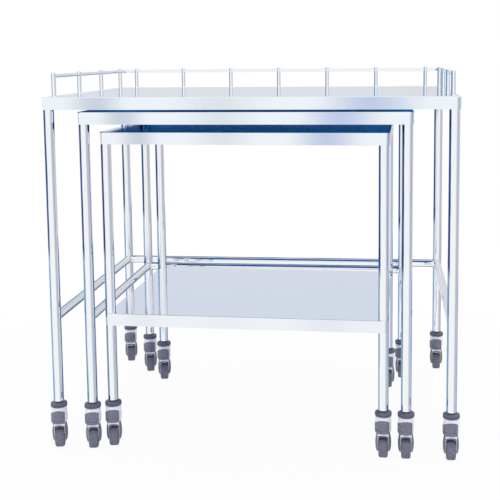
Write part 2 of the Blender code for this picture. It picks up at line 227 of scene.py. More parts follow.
def four(colour: object) -> object:
    """Give a colour its alpha, and leave a socket as it is.

    Args:
        colour: A colour with three or four parts, or a socket.

    Returns:
        The colour with four parts, or the same socket.
    """
    if isinstance(colour, tuple) and len(colour) == 3:
        return (*colour, 1.0)
    return colour


def start_material(name: str) -> tuple[bpy.types.Material, bpy.types.ShaderNode, NodeBench]:
    """Start a material with one Principled shader.

    Args:
        name: The material's name.

    Returns:
        The material, its shader and the bench for its other nodes.
    """
    made = bpy.data.materials.new(name)
    made.use_nodes = True
    return made, made.node_tree.nodes["Principled BSDF"], NodeBench(made.node_tree)


def roughen(bench: NodeBench, shader: bpy.types.ShaderNode, height: bpy.types.NodeSocket, depth: float) -> None:
    """Give a shader a fine relief.

    Args:
        bench: The material's node bench.
        shader: The Principled shader.
        height: The relief's pattern, from 0 to 1.
        depth: Its depth in metres.
    """
    bump = bench.add("ShaderNodeBump")
    bump.inputs["Strength"].default_value = 1.0
    bump.inputs["Distance"].default_value = depth
    bench.feed(bump.inputs["Height"], height)
    bench.feed(shader.inputs["Normal"], bump.outputs[0])


@dataclass(frozen=True)
class Steel:
    """A polished or brushed stainless steel finish.

    Attributes:
        name: The material's name.
        tint: Base colour.
        roughness: Mean roughness.
        grain: Direction of the fine lines.
        line_depth: Height of the fine lines, in metres.
        smudge: How much the roughness wanders.
        line_scale: Fine lines in a metre.
        cloud_scale: Patches of wear in a metre.
        line_share: How much of the roughness follows the fine lines. The rest follows the wear.
        worn: Brightness of the worn patches, as a share of the tint.
    """

    name: str
    tint: Colour
    roughness: float
    grain: Grain
    line_depth: float = 2e-6
    smudge: float = 0.03
    line_scale: float = 1400.0
    cloud_scale: float = 9.0
    line_share: float = 0.4
    worn: float = 0.975

    def material(self) -> bpy.types.Material:
        """Build the material, or find it if it is there already.

        Returns:
            The material.
        """
        if self.name in bpy.data.materials:
            return bpy.data.materials[self.name]
        made, shader, bench = start_material(self.name)
        place = bench.add("ShaderNodeTexCoord").outputs["Object"]
        stretch = bench.add("ShaderNodeMapping")
        stretch.inputs["Scale"].default_value = self.grain.value
        bench.feed(stretch.inputs["Vector"], place)
        lines = bench.noise(stretch.outputs[0], self.line_scale, 3.0)
        cloud = bench.noise(place, self.cloud_scale, 3.0)
        bench.feed(shader.inputs["Base Color"], self.base_colour(bench, cloud))
        fine = bench.math("MULTIPLY", lines, self.line_share)
        slow = bench.math("MULTIPLY", cloud, 1 - self.line_share)
        mixed = bench.math("ADD", fine, slow)
        rough = bench.spread(mixed, self.roughness - self.smudge, self.roughness + self.smudge)
        bench.feed(shader.inputs["Roughness"], rough)
        roughen(bench, shader, lines, self.line_depth)
        shader.inputs["Metallic"].default_value = 1.0
        return made

    def base_colour(self, bench: NodeBench, cloud: bpy.types.NodeSocket) -> bpy.types.NodeSocket:
        """Make the tint with a faint cloud of wear, from a slow noise."""
        low = tuple(part * self.worn for part in self.tint)
        return bench.blend(cloud, low, self.tint)


@dataclass(frozen=True)
class FoldedSteel(Steel):
    """Polished sheet whose folded edges carry soft bluish painted reflections along their length, painted into
    the base colour.

    Attributes:
        depth: Strength of the painted reflections.
        slope: How far a face's direction rises where the painted reflections are gone, and where they are full.
        bands: Each painted reflection's middle and half width as shares of the edge's length, and its tint.
    """

    depth: float = 1.0
    slope: Pair = (0.8, 0.3)
    bands: tuple[tuple[float, float, Colour], ...] = (
        (0.125, 0.095, (0.62, 0.68, 0.80)),
        (0.430, 0.150, (0.76, 0.82, 0.87)),
        (0.800, 0.160, (0.56, 0.64, 0.85)),
    )

    def base_colour(self, bench: NodeBench, cloud: bpy.types.NodeSocket) -> bpy.types.NodeSocket:
        """Make the clouded tint, with the painted reflections on the upright faces.

        Args:
            bench: The material's node bench.
            cloud: A slow noise.

        Returns:
            The colour socket.
        """
        colour = super().base_colour(bench, cloud)
        along = bench.add("ShaderNodeAttribute", attribute_name="along").outputs["Fac"]
        split = bench.add("ShaderNodeSeparateXYZ")
        bench.feed(split.inputs[0], bench.add("ShaderNodeTexCoord").outputs["Normal"])
        steep = bench.ramp(bench.math("ABSOLUTE", split.outputs[2]), *self.slope)
        strength = bench.math("MULTIPLY", steep, self.depth)
        # Each band is a bluish reflection painted into the base colour.
        for middle, half, tint in self.bands:
            offset = bench.math("ABSOLUTE", bench.math("SUBTRACT", along, middle))
            band = bench.math("MULTIPLY", bench.ramp(offset, half, 0.0), strength)
            colour = bench.blend(band, colour, tint)
        return colour


def level(bearing: float) -> Point:
    """Give the level direction at a bearing, in degrees to the right of +Y."""
    return math.sin(math.radians(bearing)), math.cos(math.radians(bearing)), 0.0


@dataclass(frozen=True)
class Streak:
    """A painted reflection: a blue line painted into a drawn tube's colour along its length, on the side that
    faces one way.

    Attributes:
        facing: The way that side faces.
        spread: Half its width round the tube, in degrees.
        tint: The colour of the painted reflection.
        heights: Where it starts and ends above the floor.
        soft: Width of its soft sides, in degrees to each side.
        fade: Length of its soft ends, to each side.
        waver: How far its sides waver, as a share of the tube's radius.
    """

    facing: Point
    spread: float
    tint: Colour
    heights: Pair = (-1.0, 2.0)
    soft: float = 5.0
    fade: float = 0.03
    waver: float = 0.06

    def mask(self, bench: NodeBench, wobble: bpy.types.NodeSocket) -> bpy.types.NodeSocket:
        """Find how much of the streak shows at a point, from 0 to 1.

        Args:
            bench: The material's node bench.
            wobble: A slow noise that makes its edges waver.

        Returns:
            The mask socket.
        """
        coords = bench.add("ShaderNodeTexCoord")
        near = bench.add("ShaderNodeVectorMath", operation="DOT_PRODUCT")
        bench.feed(near.inputs[0], coords.outputs["Normal"])
        near.inputs[1].default_value = self.facing
        turned = bench.math("ADD", near.outputs["Value"], bench.spread(wobble, -self.waver, self.waver))
        outer, inner = (math.cos(math.radians(self.spread + step)) for step in (self.soft, -self.soft))
        mask = bench.ramp(turned, outer, inner)
        split = bench.add("ShaderNodeSeparateXYZ")
        bench.feed(split.inputs[0], coords.outputs["Object"])
        low, high = self.heights
        for outside, inside in ((low - self.fade, low + self.fade), (high + self.fade, high - self.fade)):
            mask = bench.math("MULTIPLY", mask, bench.ramp(split.outputs[2], outside, inside))
        return mask


@dataclass(frozen=True)
class DrawnTube(Steel):
    """Drawn and polished tube with blue painted reflections along it, painted into its base colour.

    Attributes:
        streaks: Its painted reflection lines.
    """

    streaks: tuple[Streak, ...] = ()

    def base_colour(self, bench: NodeBench, cloud: bpy.types.NodeSocket) -> bpy.types.NodeSocket:
        """Make the clouded tint, with the painted reflection lines over it.

        Args:
            bench: The material's node bench.
            cloud: A slow noise.

        Returns:
            The colour socket.
        """
        colour = super().base_colour(bench, cloud)
        # Each line is a reflection painted into the base colour.
        for streak in self.streaks:
            colour = bench.blend(streak.mask(bench, cloud), colour, streak.tint)
        return colour


@dataclass(frozen=True)
class Moulding:
    """A moulded plastic or rubber finish.

    Attributes:
        name: The material's name.
        colour: Base colour.
        roughness: Mean roughness.
        pebble: Height of the moulded grain, in metres.
        scuff: How much paler the worn patches are.
        gloss: Strength of its shine, 0 for a fully matt coating.
        pebble_scale: Moulded grains in a metre.
        wear_scale: Worn patches in a metre.
        wear_edge: Noise values where a worn patch starts, and where it is full.
        wander: How much the roughness wanders.
    """

    name: str
    colour: Colour
    roughness: float
    pebble: float = 2e-5
    scuff: float = 0.25
    gloss: float = 0.5
    pebble_scale: float = 2600.0
    wear_scale: float = 160.0
    wear_edge: Pair = (0.45, 0.7)
    wander: float = 0.08

    def material(self) -> bpy.types.Material:
        """Build the material, or find it if it is there already.

        Returns:
            The material.
        """
        if self.name in bpy.data.materials:
            return bpy.data.materials[self.name]
        made, shader, bench = start_material(self.name)
        place = bench.add("ShaderNodeTexCoord").outputs["Object"]
        grain = bench.noise(place, self.pebble_scale, 2.0)
        wear = bench.noise(place, self.wear_scale, 4.0)
        pale = tuple(min(part * (1 + self.scuff), 1.0) for part in self.colour)
        worn = bench.ramp(wear, *self.wear_edge)
        bench.feed(shader.inputs["Base Color"], bench.blend(worn, self.colour, pale))
        rough = bench.spread(wear, self.roughness - self.wander, self.roughness + self.wander)
        bench.feed(shader.inputs["Roughness"], rough)
        roughen(bench, shader, grain, self.pebble)
        shader.inputs["Specular IOR Level"].default_value = self.gloss
        return made


TUBE = (0.950, 0.955, 0.970)


def upright(name: str, *streaks: Streak) -> DrawnTube:
    """Give the finish of a leg tube with its painted reflection lines."""
    return DrawnTube(name, TUBE, 0.04, Grain.ALONG_Z, 1e-6, 0.015, streaks=streaks)


def rod(name: str, grain: Grain, *streaks: Streak, tint: Colour = TUBE) -> DrawnTube:
    """Give the finish of a rail or guard rod with its painted reflection lines."""
    return DrawnTube(name, tint, 0.03, grain, 5e-7, 0.01, streaks=streaks)


# Folded-edge finishes carry bluish painted reflections of the surroundings in their base colour; the shelf's
# are fainter.
SHEET_FACE = FoldedSteel("polished_sheet", (0.90, 0.955, 1.0), 0.07, Grain.ALONG_X)
SHELF_FACE = FoldedSteel("shelf_sheet", (0.91, 0.935, 0.985), 0.07, Grain.ALONG_X, depth=0.22)
# Painted shade: the undersides of the sheets are a matt dark blue that stands for the shade and the dark studio
# mirrored in the nest's gaps.
SHEET_UNDERSIDE_SHADE = Moulding("underside_coating", (0.014, 0.170, 0.420), 0.90, 1e-5, 0.90, 0.0)
# Colours of the painted reflections on the tubes: navy for the dark studio, paler blues near the legs' feet and
# on the rods.
REFLECTED_NAVY = (0.006, 0.070, 0.260)
REFLECTED_FOOT_BLUE = (0.200, 0.400, 0.620)
REFLECTED_ROD_BLUE = (0.130, 0.300, 0.500)
# Each tube finish paints reflections of the studio as blue lines along the sides that face it; left and right
# legs get different ones.
LEFT_UPRIGHT = upright(
    "left_upright_tube",
    Streak(level(229.0), 28.0, REFLECTED_NAVY, (0.48, 2.0)),
    Streak(level(229.0), 24.0, REFLECTED_FOOT_BLUE, (-1.0, 0.48)),
    Streak(level(86.0), 20.0, REFLECTED_NAVY, (-1.0, 0.52)),
    Streak(level(86.0), 24.0, REFLECTED_NAVY, (0.78, 2.0)),
)
RIGHT_UPRIGHT = upright(
    "right_upright_tube",
    Streak(level(248.0), 29.0, REFLECTED_NAVY, (0.45, 2.0)),
    Streak(level(250.0), 25.0, REFLECTED_FOOT_BLUE, (-1.0, 0.45)),
    Streak(level(103.0), 17.0, REFLECTED_FOOT_BLUE, (-1.0, 0.45)),
)
CROSS_RAIL = rod(
    "cross_rail_tube",
    Grain.ALONG_X,
    Streak((0.0, -0.105, 0.995), 21.0, REFLECTED_NAVY),
    Streak((0.0, -0.470, -0.883), 15.0, REFLECTED_NAVY),
)
LEFT_RAIL = rod(
    "left_rail_tube",
    Grain.ALONG_Y,
    Streak((0.866, 0.0, -0.500), 34.0, REFLECTED_NAVY),
    Streak((-0.375, 0.0, 0.927), 27.0, REFLECTED_NAVY),
)
RIGHT_RAIL = rod(
    "right_rail_tube",
    Grain.ALONG_Y,
    Streak((0.927, 0.0, 0.375), 12.0, REFLECTED_ROD_BLUE),
    Streak((-0.999, 0.0, -0.052), 16.0, REFLECTED_ROD_BLUE),
)
GUARD_ROD = rod(
    "guard_rod",
    Grain.NONE,
    Streak(level(235.0), 34.0, REFLECTED_ROD_BLUE),
    Streak((0.60, 0.0, -0.80), 38.0, (0.250, 0.350, 0.550)),
    Streak((0.0, 0.0, 1.0), 26.0, (0.200, 0.320, 0.450)),
    tint=(0.950, 0.970, 0.990),
)
WELD = Steel("weld_bead", (0.80, 0.83, 0.90), 0.20, Grain.NONE, 8e-6, 0.08)
# Pale cup: near-white partly as the cup's own light finish, partly as painted highlight in the band under the
# buffer and in the hood's right slot.
CUP = Moulding("cup_enamel", (0.92, 0.925, 0.945), 0.34, 1e-5, 0.03)
PLATE = Moulding("fork_plate_enamel", (0.58, 0.59, 0.65), 0.30, 1e-5, 0.10)
# Painted shade: a dark piece in the slot under the crown, where there is only shade.
SLOT_SHADE = Moulding("hood_lining", (0.170, 0.178, 0.225), 0.60)
BUFFER = Moulding("buffer_plastic", (0.125, 0.132, 0.185), 0.48)
HOOD = Moulding("hood_plastic", (0.182, 0.187, 0.245), 0.42)
TYRE = Moulding("tyre_rubber", (0.156, 0.162, 0.210), 0.60, 4e-5, 0.35)
HUB = Moulding("hub_plastic", (0.20, 0.205, 0.25), 0.40)


def finish_mesh(bm: bmesh.types.BMesh, name: str, sharp: float = SHARP_ANGLE) -> bpy.types.Mesh:
    """Turn a bmesh into a mesh with merged points, outward faces and smooth round sides.

    Args:
        bm: The bmesh, which is freed.
        name: The mesh's name.
        sharp: Edges that bend more than this stay sharp.

    Returns:
        The new mesh.
    """
    bmesh.ops.remove_doubles(bm, verts=bm.verts, dist=MERGE_DISTANCE)
    bmesh.ops.recalc_face_normals(bm, faces=bm.faces)
    mesh = bpy.data.meshes.new(name)
    bm.to_mesh(mesh)
    bm.free()
    mesh.shade_smooth()
    mesh.set_sharp_from_angle(angle=sharp)
    return mesh


def lathe(bm: bmesh.types.BMesh, profile: Profile, sides: int, closed: bool = False) -> None:
    """Spin a profile of (radius, height) points round the Z axis.

    Args:
        bm: The bmesh that gets the shape.
        profile: Points from one end to the other.
        sides: Steps in a full turn.
        closed: True for a ring, whose last point joins its first.
    """
    points = [bm.verts.new((radius, 0, height)) for radius, height in profile]
    edges = [bm.edges.new(pair) for pair in zip(points, points[1:])]
    if closed:
        edges.append(bm.edges.new((points[-1], points[0])))
    bmesh.ops.spin(
        bm,
        geom=points + edges,
        cent=(0, 0, 0),
        axis=(0, 0, 1),
        angle=math.tau,
        steps=sides,
        use_merge=True,
    )


def arc(centre: Pair, radius: float, start: float, stop: float, steps: int) -> list[Pair]:
    """List points along an arc in a profile.

    Args:
        centre: The arc's middle.
        radius: Its radius.
        start: First angle, in degrees.
        stop: Last angle, in degrees.
        steps: Number of steps.

    Returns:
        The points, ends included.
    """
    points = []
    for step in range(steps + 1):
        angle = math.radians(start + (stop - start) * step / steps)
        points.append((centre[0] + radius * math.cos(angle), centre[1] + radius * math.sin(angle)))
    return points


def bridge(bm: bmesh.types.BMesh, near: Ring, far: Ring, material: int = 0) -> None:
    """Join two closed rings of points with four-sided faces.

    Args:
        bm: The bmesh.
        near: First ring.
        far: Second ring, with as many points.
        material: Material index of the faces.
    """
    count = len(near)
    for i in range(count):
        j = (i + 1) % count
        face = bm.faces.new((near[i], near[j], far[j], far[i]))
        face.material_index = material


def loft(bm: bmesh.types.BMesh, rings: Sequence[Ring]) -> None:
    """Skin a row of closed rings and close both ends.

    Args:
        bm: The bmesh.
        rings: The rings in order, each with as many points.
    """
    for near, far in zip(rings, rings[1:]):
        bridge(bm, near, far)
    bm.faces.new(rings[0])
    bm.faces.new(rings[-1])


def show(
    name: str,
    mesh: bpy.types.Mesh,
    finishes: Sequence[Steel | Moulding],
    body: str,
    nodes: Sequence[str] = (),
) -> bpy.types.Object:
    """Put a finished mesh in the scene and tie it to the frame.

    Args:
        name: The piece's name.
        mesh: Its mesh, already in place.
        finishes: Its finishes, in the order of its material indices.
        body: The body it rides on.
        nodes: The frame's nodes that it stands for.

    Returns:
        The piece.
    """
    indices = [face.material_index for face in mesh.polygons]
    mesh.materials.clear()
    for finish in finishes:
        mesh.materials.append(finish.material())
    mesh.polygons.foreach_set("material_index", indices)
    piece = bpy.data.objects.new(name, mesh)
    bpy.context.scene.collection.objects.link(piece)
    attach(piece, body)
    if nodes:
        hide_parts(*nodes)
    LOG.info("%s: %d faces on %s", name, len(mesh.polygons), body)
    return piece


class NodeShape:
    """A Geometry Nodes tree with named inputs, and the way to run it once on a start mesh.

    Attributes:
        tree: The tree.
        bench: The bench that adds its nodes.
        entry: The node that brings in the geometry, the material and the sizes.
        exit: The node that hands out the result.
    """

    def __init__(self, name: str) -> None:
        """Start an empty tree with a mesh coming in and a mesh going out.

        Args:
            name: The tree's name.
        """
        self.tree = bpy.data.node_groups.new(name, "GeometryNodeTree")
        self.bench = NodeBench(self.tree)
        self.tree.interface.new_socket("Geometry", in_out="INPUT", socket_type="NodeSocketGeometry")
        self.tree.interface.new_socket("Geometry", in_out="OUTPUT", socket_type="NodeSocketGeometry")
        self.tree.interface.new_socket("Material", in_out="INPUT", socket_type="NodeSocketMaterial")
        self.entry = self.bench.add("NodeGroupInput")
        self.exit = self.bench.add("NodeGroupOutput")

    def size(self, name: str, kind: str = "NodeSocketFloat") -> bpy.types.NodeSocket:
        """Add a named input and return the socket that carries it."""
        self.tree.interface.new_socket(name, in_out="INPUT", socket_type=kind)
        return self.entry.outputs[name]

    def close(self, result: bpy.types.NodeSocket) -> None:
        """End the tree in Realize Instances, smooth shading and Set Material.

        Args:
            result: The geometry to hand out.
        """
        real = self.bench.add("GeometryNodeRealizeInstances")
        smooth = self.bench.add("GeometryNodeSetShadeSmooth")
        dress = self.bench.add("GeometryNodeSetMaterial")
        self.bench.feed(real.inputs[0], result)
        self.bench.feed(smooth.inputs[0], real.outputs[0])
        self.bench.feed(dress.inputs[0], smooth.outputs[0])
        self.bench.feed(dress.inputs["Material"], self.entry.outputs["Material"])
        self.bench.feed(self.exit.inputs[0], dress.outputs[0])

    def run(self, start: bpy.types.Mesh, material: bpy.types.Material, **sizes: float) -> bpy.types.Mesh:
        """Run the tree on a mesh.

        Args:
            start: The mesh that comes in.
            material: The finish of the result.
            sizes: A value for each named input, with underscores for spaces.

        Returns:
            The result as a plain mesh.
        """
        holder = bpy.data.objects.new("holder", start)
        bpy.context.scene.collection.objects.link(holder)
        modifier = holder.modifiers.new("shape", "NODES")
        modifier.node_group = self.tree
        keys = {item.name: item.identifier for item in self.tree.interface.items_tree if item.in_out == "INPUT"}
        modifier[keys["Material"]] = material
        for name, value in sizes.items():
            modifier[keys[name.replace("_", " ")]] = value
        graph = bpy.context.evaluated_depsgraph_get()
        mesh = bpy.data.meshes.new_from_object(holder.evaluated_get(graph))
        bpy.data.objects.remove(holder, do_unlink=True)
        return mesh


def path_mesh(points: Sequence[Point | Vector], closed: bool = False) -> bpy.types.Mesh:
    """Make a mesh of edges through points.

    Args:
        points: The points in order.
        closed: True if the last joins the first.

    Returns:
        The mesh.
    """
    places = [tuple(point) for point in points]
    edges = [(i, i + 1) for i in range(len(places) - 1)]
    if closed:
        edges.append((len(places) - 1, 0))
    mesh = bpy.data.meshes.new("path")
    mesh.from_pydata(places, edges, [])
    return mesh


def tube_shape() -> NodeShape:
    """Build the tree that sweeps a round tube along a path and closes its ends.

    Returns:
        The tree, ready to run.
    """
    shape = NodeShape("tube_along_path")
    bench = shape.bench
    radius = shape.size("Radius")
    sides = shape.size("Sides", "NodeSocketInt")
    curve = bench.add("GeometryNodeMeshToCurve")
    ring = bench.add("GeometryNodeCurvePrimitiveCircle", mode="RADIUS")
    sweep = bench.add("GeometryNodeCurveToMesh")
    bench.feed(curve.inputs[0], shape.entry.outputs["Geometry"])
    bench.feed(ring.inputs["Resolution"], sides)
    bench.feed(ring.inputs["Radius"], radius)
    bench.feed(sweep.inputs["Curve"], curve.outputs[0])
    bench.feed(sweep.inputs["Profile Curve"], ring.outputs[0])
    sweep.inputs["Fill Caps"].default_value = True
    shape.close(sweep.outputs[0])
    return shape


def bead_shape() -> NodeShape:
    """Build the tree that lays overlapping weld ripples at an even pitch along a path.

    Returns:
        The tree, ready to run.
    """
    shape = NodeShape("weld_ripples")
    bench = shape.bench
    pitch = shape.size("Pitch")
    width = shape.size("Width")
    curve = bench.add("GeometryNodeMeshToCurve")
    even = bench.add("GeometryNodeResampleCurve", mode="LENGTH")
    drop = bench.add("GeometryNodeMeshIcoSphere")
    drop.inputs["Subdivisions"].default_value = 2
    spread = bench.add("GeometryNodeInstanceOnPoints")
    bench.feed(curve.inputs[0], shape.entry.outputs["Geometry"])
    bench.feed(even.inputs["Curve"], curve.outputs[0])
    bench.feed(even.inputs["Length"], pitch)
    bench.feed(drop.inputs["Radius"], width)
    bench.feed(spread.inputs["Points"], even.outputs[0])
    bench.feed(spread.inputs["Instance"], drop.outputs[0])
    shape.close(spread.outputs[0])
    return shape


def post_shape() -> NodeShape:
    """Build the tree that stands a round post with a domed tip and a foot weld on each point.

    Returns:
        The tree, ready to run.
    """
    shape = NodeShape("guard_posts")
    bench = shape.bench
    sides, weld_sides, dome = 32, 10, 0.55
    radius = shape.size("Radius")
    height = shape.size("Height")
    foot = shape.size("Foot")
    stem = bench.add("GeometryNodeMeshCylinder", fill_type="NGON")
    stem.inputs["Vertices"].default_value = sides
    bench.feed(stem.inputs["Radius"], radius)
    straight = bench.math("SUBTRACT", height, bench.math("MULTIPLY", radius, dome))
    bench.feed(stem.inputs["Depth"], straight)
    lift = bench.add("ShaderNodeCombineXYZ")
    bench.feed(lift.inputs[2], bench.math("MULTIPLY", straight, 0.5))
    raise_stem = bench.add("GeometryNodeTransform")
    bench.feed(raise_stem.inputs[0], stem.outputs[0])
    bench.feed(raise_stem.inputs["Translation"], lift.outputs[0])
    tip = bench.add("GeometryNodeMeshUVSphere")
    tip.inputs["Segments"].default_value = sides
    tip.inputs["Rings"].default_value = sides // 2
    bench.feed(tip.inputs["Radius"], radius)
    tip_place = bench.add("ShaderNodeCombineXYZ")
    bench.feed(tip_place.inputs[2], straight)
    raise_tip = bench.add("GeometryNodeTransform")
    raise_tip.inputs["Scale"].default_value = (1.0, 1.0, dome)
    bench.feed(raise_tip.inputs[0], tip.outputs[0])
    bench.feed(raise_tip.inputs["Translation"], tip_place.outputs[0])
    ring = bench.add("GeometryNodeCurvePrimitiveCircle", mode="RADIUS")
    ring.inputs["Resolution"].default_value = sides
    bench.feed(ring.inputs["Radius"], radius)
    section = bench.add("GeometryNodeCurvePrimitiveCircle", mode="RADIUS")
    section.inputs["Resolution"].default_value = weld_sides
    bench.feed(section.inputs["Radius"], foot)
    weld = bench.add("GeometryNodeCurveToMesh")
    bench.feed(weld.inputs["Curve"], ring.outputs[0])
    bench.feed(weld.inputs["Profile Curve"], section.outputs[0])
    whole = bench.add("GeometryNodeJoinGeometry")
    for part in (weld, raise_tip, raise_stem):
        bench.feed(whole.inputs[0], part.outputs[0])
    spread = bench.add("GeometryNodeInstanceOnPoints")
    bench.feed(spread.inputs["Points"], shape.entry.outputs["Geometry"])
    bench.feed(spread.inputs["Instance"], whole.outputs[0])
    shape.close(spread.outputs[0])
    return shape


@dataclass
class Workshop:
    """The Geometry Nodes trees that the trolleys share.

    Attributes:
        tube: Sweeps rails and the guard rail.
        bead: Lays welds.
        post: Stands the guard rail's posts.
    """

    tube: NodeShape = field(default_factory=tube_shape)
    bead: NodeShape = field(default_factory=bead_shape)
    post: NodeShape = field(default_factory=post_shape)


@dataclass
class FoldedSheet:
    """A sheet top or shelf with its four edges folded down and open underneath.

    Attributes:
        width: Size along X.
        depth: Size along Y.
        height: Height of its upper face.
        corner: Radius of its corners, seen from above.
        fold: Depth of the folded edge.
        gauge: Thickness of the sheet.
        bend: Outer radius of the bend.
        corner_steps: Steps round each corner.
        least_corner: Smallest radius that a corner keeps on the inside.
        lip: Rounding of the folded edge's foot.
        support: Distance of the lines that keep the bend's shading tight.
    """

    width: float
    depth: float
    height: float
    corner: float
    fold: float = 0.030
    gauge: float = 0.0015
    bend: float = 0.0025
    corner_steps: int = 12
    least_corner: float = 0.0003
    lip: float = 0.00045
    support: float = 0.0012

    def ring(self, bm: bmesh.types.BMesh, inset: float, drop: float) -> Ring:
        """Add the points round the sheet at one inset from its edge.

        Args:
            bm: The bmesh that gets them.
            inset: Their distance inside the edge.
            drop: Their depth below the upper face.

        Returns:
            The points, each marked with its place along the front or back edge.
        """
        radius = max(self.corner - inset, self.least_corner)
        points = []
        layer = bm.verts.layers.float.get("along") or bm.verts.layers.float.new("along")
        for quarter in range(4):
            middle = math.radians(45 + 90 * quarter)
            centre_x = math.copysign(self.width / 2 - inset - radius, math.cos(middle))
            centre_y = math.copysign(self.depth / 2 - inset - radius, math.sin(middle))
            for x, y in arc((centre_x, centre_y), radius, 90 * quarter, 90 * quarter + 90, self.corner_steps):
                point = bm.verts.new((x, y, self.height - drop))
                point[layer] = float(quarter in (1, 3))
                points.append(point)
        return points

    def section(self) -> tuple[list[Pair], list[Pair]]:
        """List the section's points, as (inset, drop).

        Returns:
            The outer and the inner half.
        """
        lip, support = self.lip, self.support
        inner_bend = self.bend - self.gauge
        outer = [(self.bend + 2 * support, 0.0), (self.bend + support / 2, 0.0)]
        outer += [(x, -y) for x, y in arc((self.bend, -self.bend), self.bend, 90, 180, 6)]
        outer += [(0.0, self.bend + support), (0.0, self.fold - lip)]
        for centre, start in ((lip, 180), (self.gauge - lip, 270)):
            outer += [(x, -y) for x, y in arc((centre, -self.fold + lip), lip, start, start + 90, 3)]
        middle = self.gauge + inner_bend
        inner = [(self.gauge, self.bend + support)]
        inner += [(x, -y) for x, y in arc((middle, -middle), inner_bend, 180, 90, 3)]
        inner += [(middle + support, self.gauge)]
        return outer, inner

    def mesh(self, name: str) -> bpy.types.Mesh:
        """Build the sheet as a closed mesh.

        Args:
            name: The mesh's name.

        Returns:
            The mesh, with its underside in the second material.
        """
        bm = bmesh.new()
        outer, inner = self.section()
        rings = [self.ring(bm, inset, drop) for inset, drop in outer + inner]
        bm.faces.new(rings[0])
        for k, (near, far) in enumerate(zip(rings, rings[1:])):
            bridge(bm, near, far, 0 if k < len(outer) - 1 else 1)
        under = bm.faces.new(reversed(rings[-1]))
        under.material_index = 1
        return finish_mesh(bm, name, SHEET_SHARP_ANGLE)


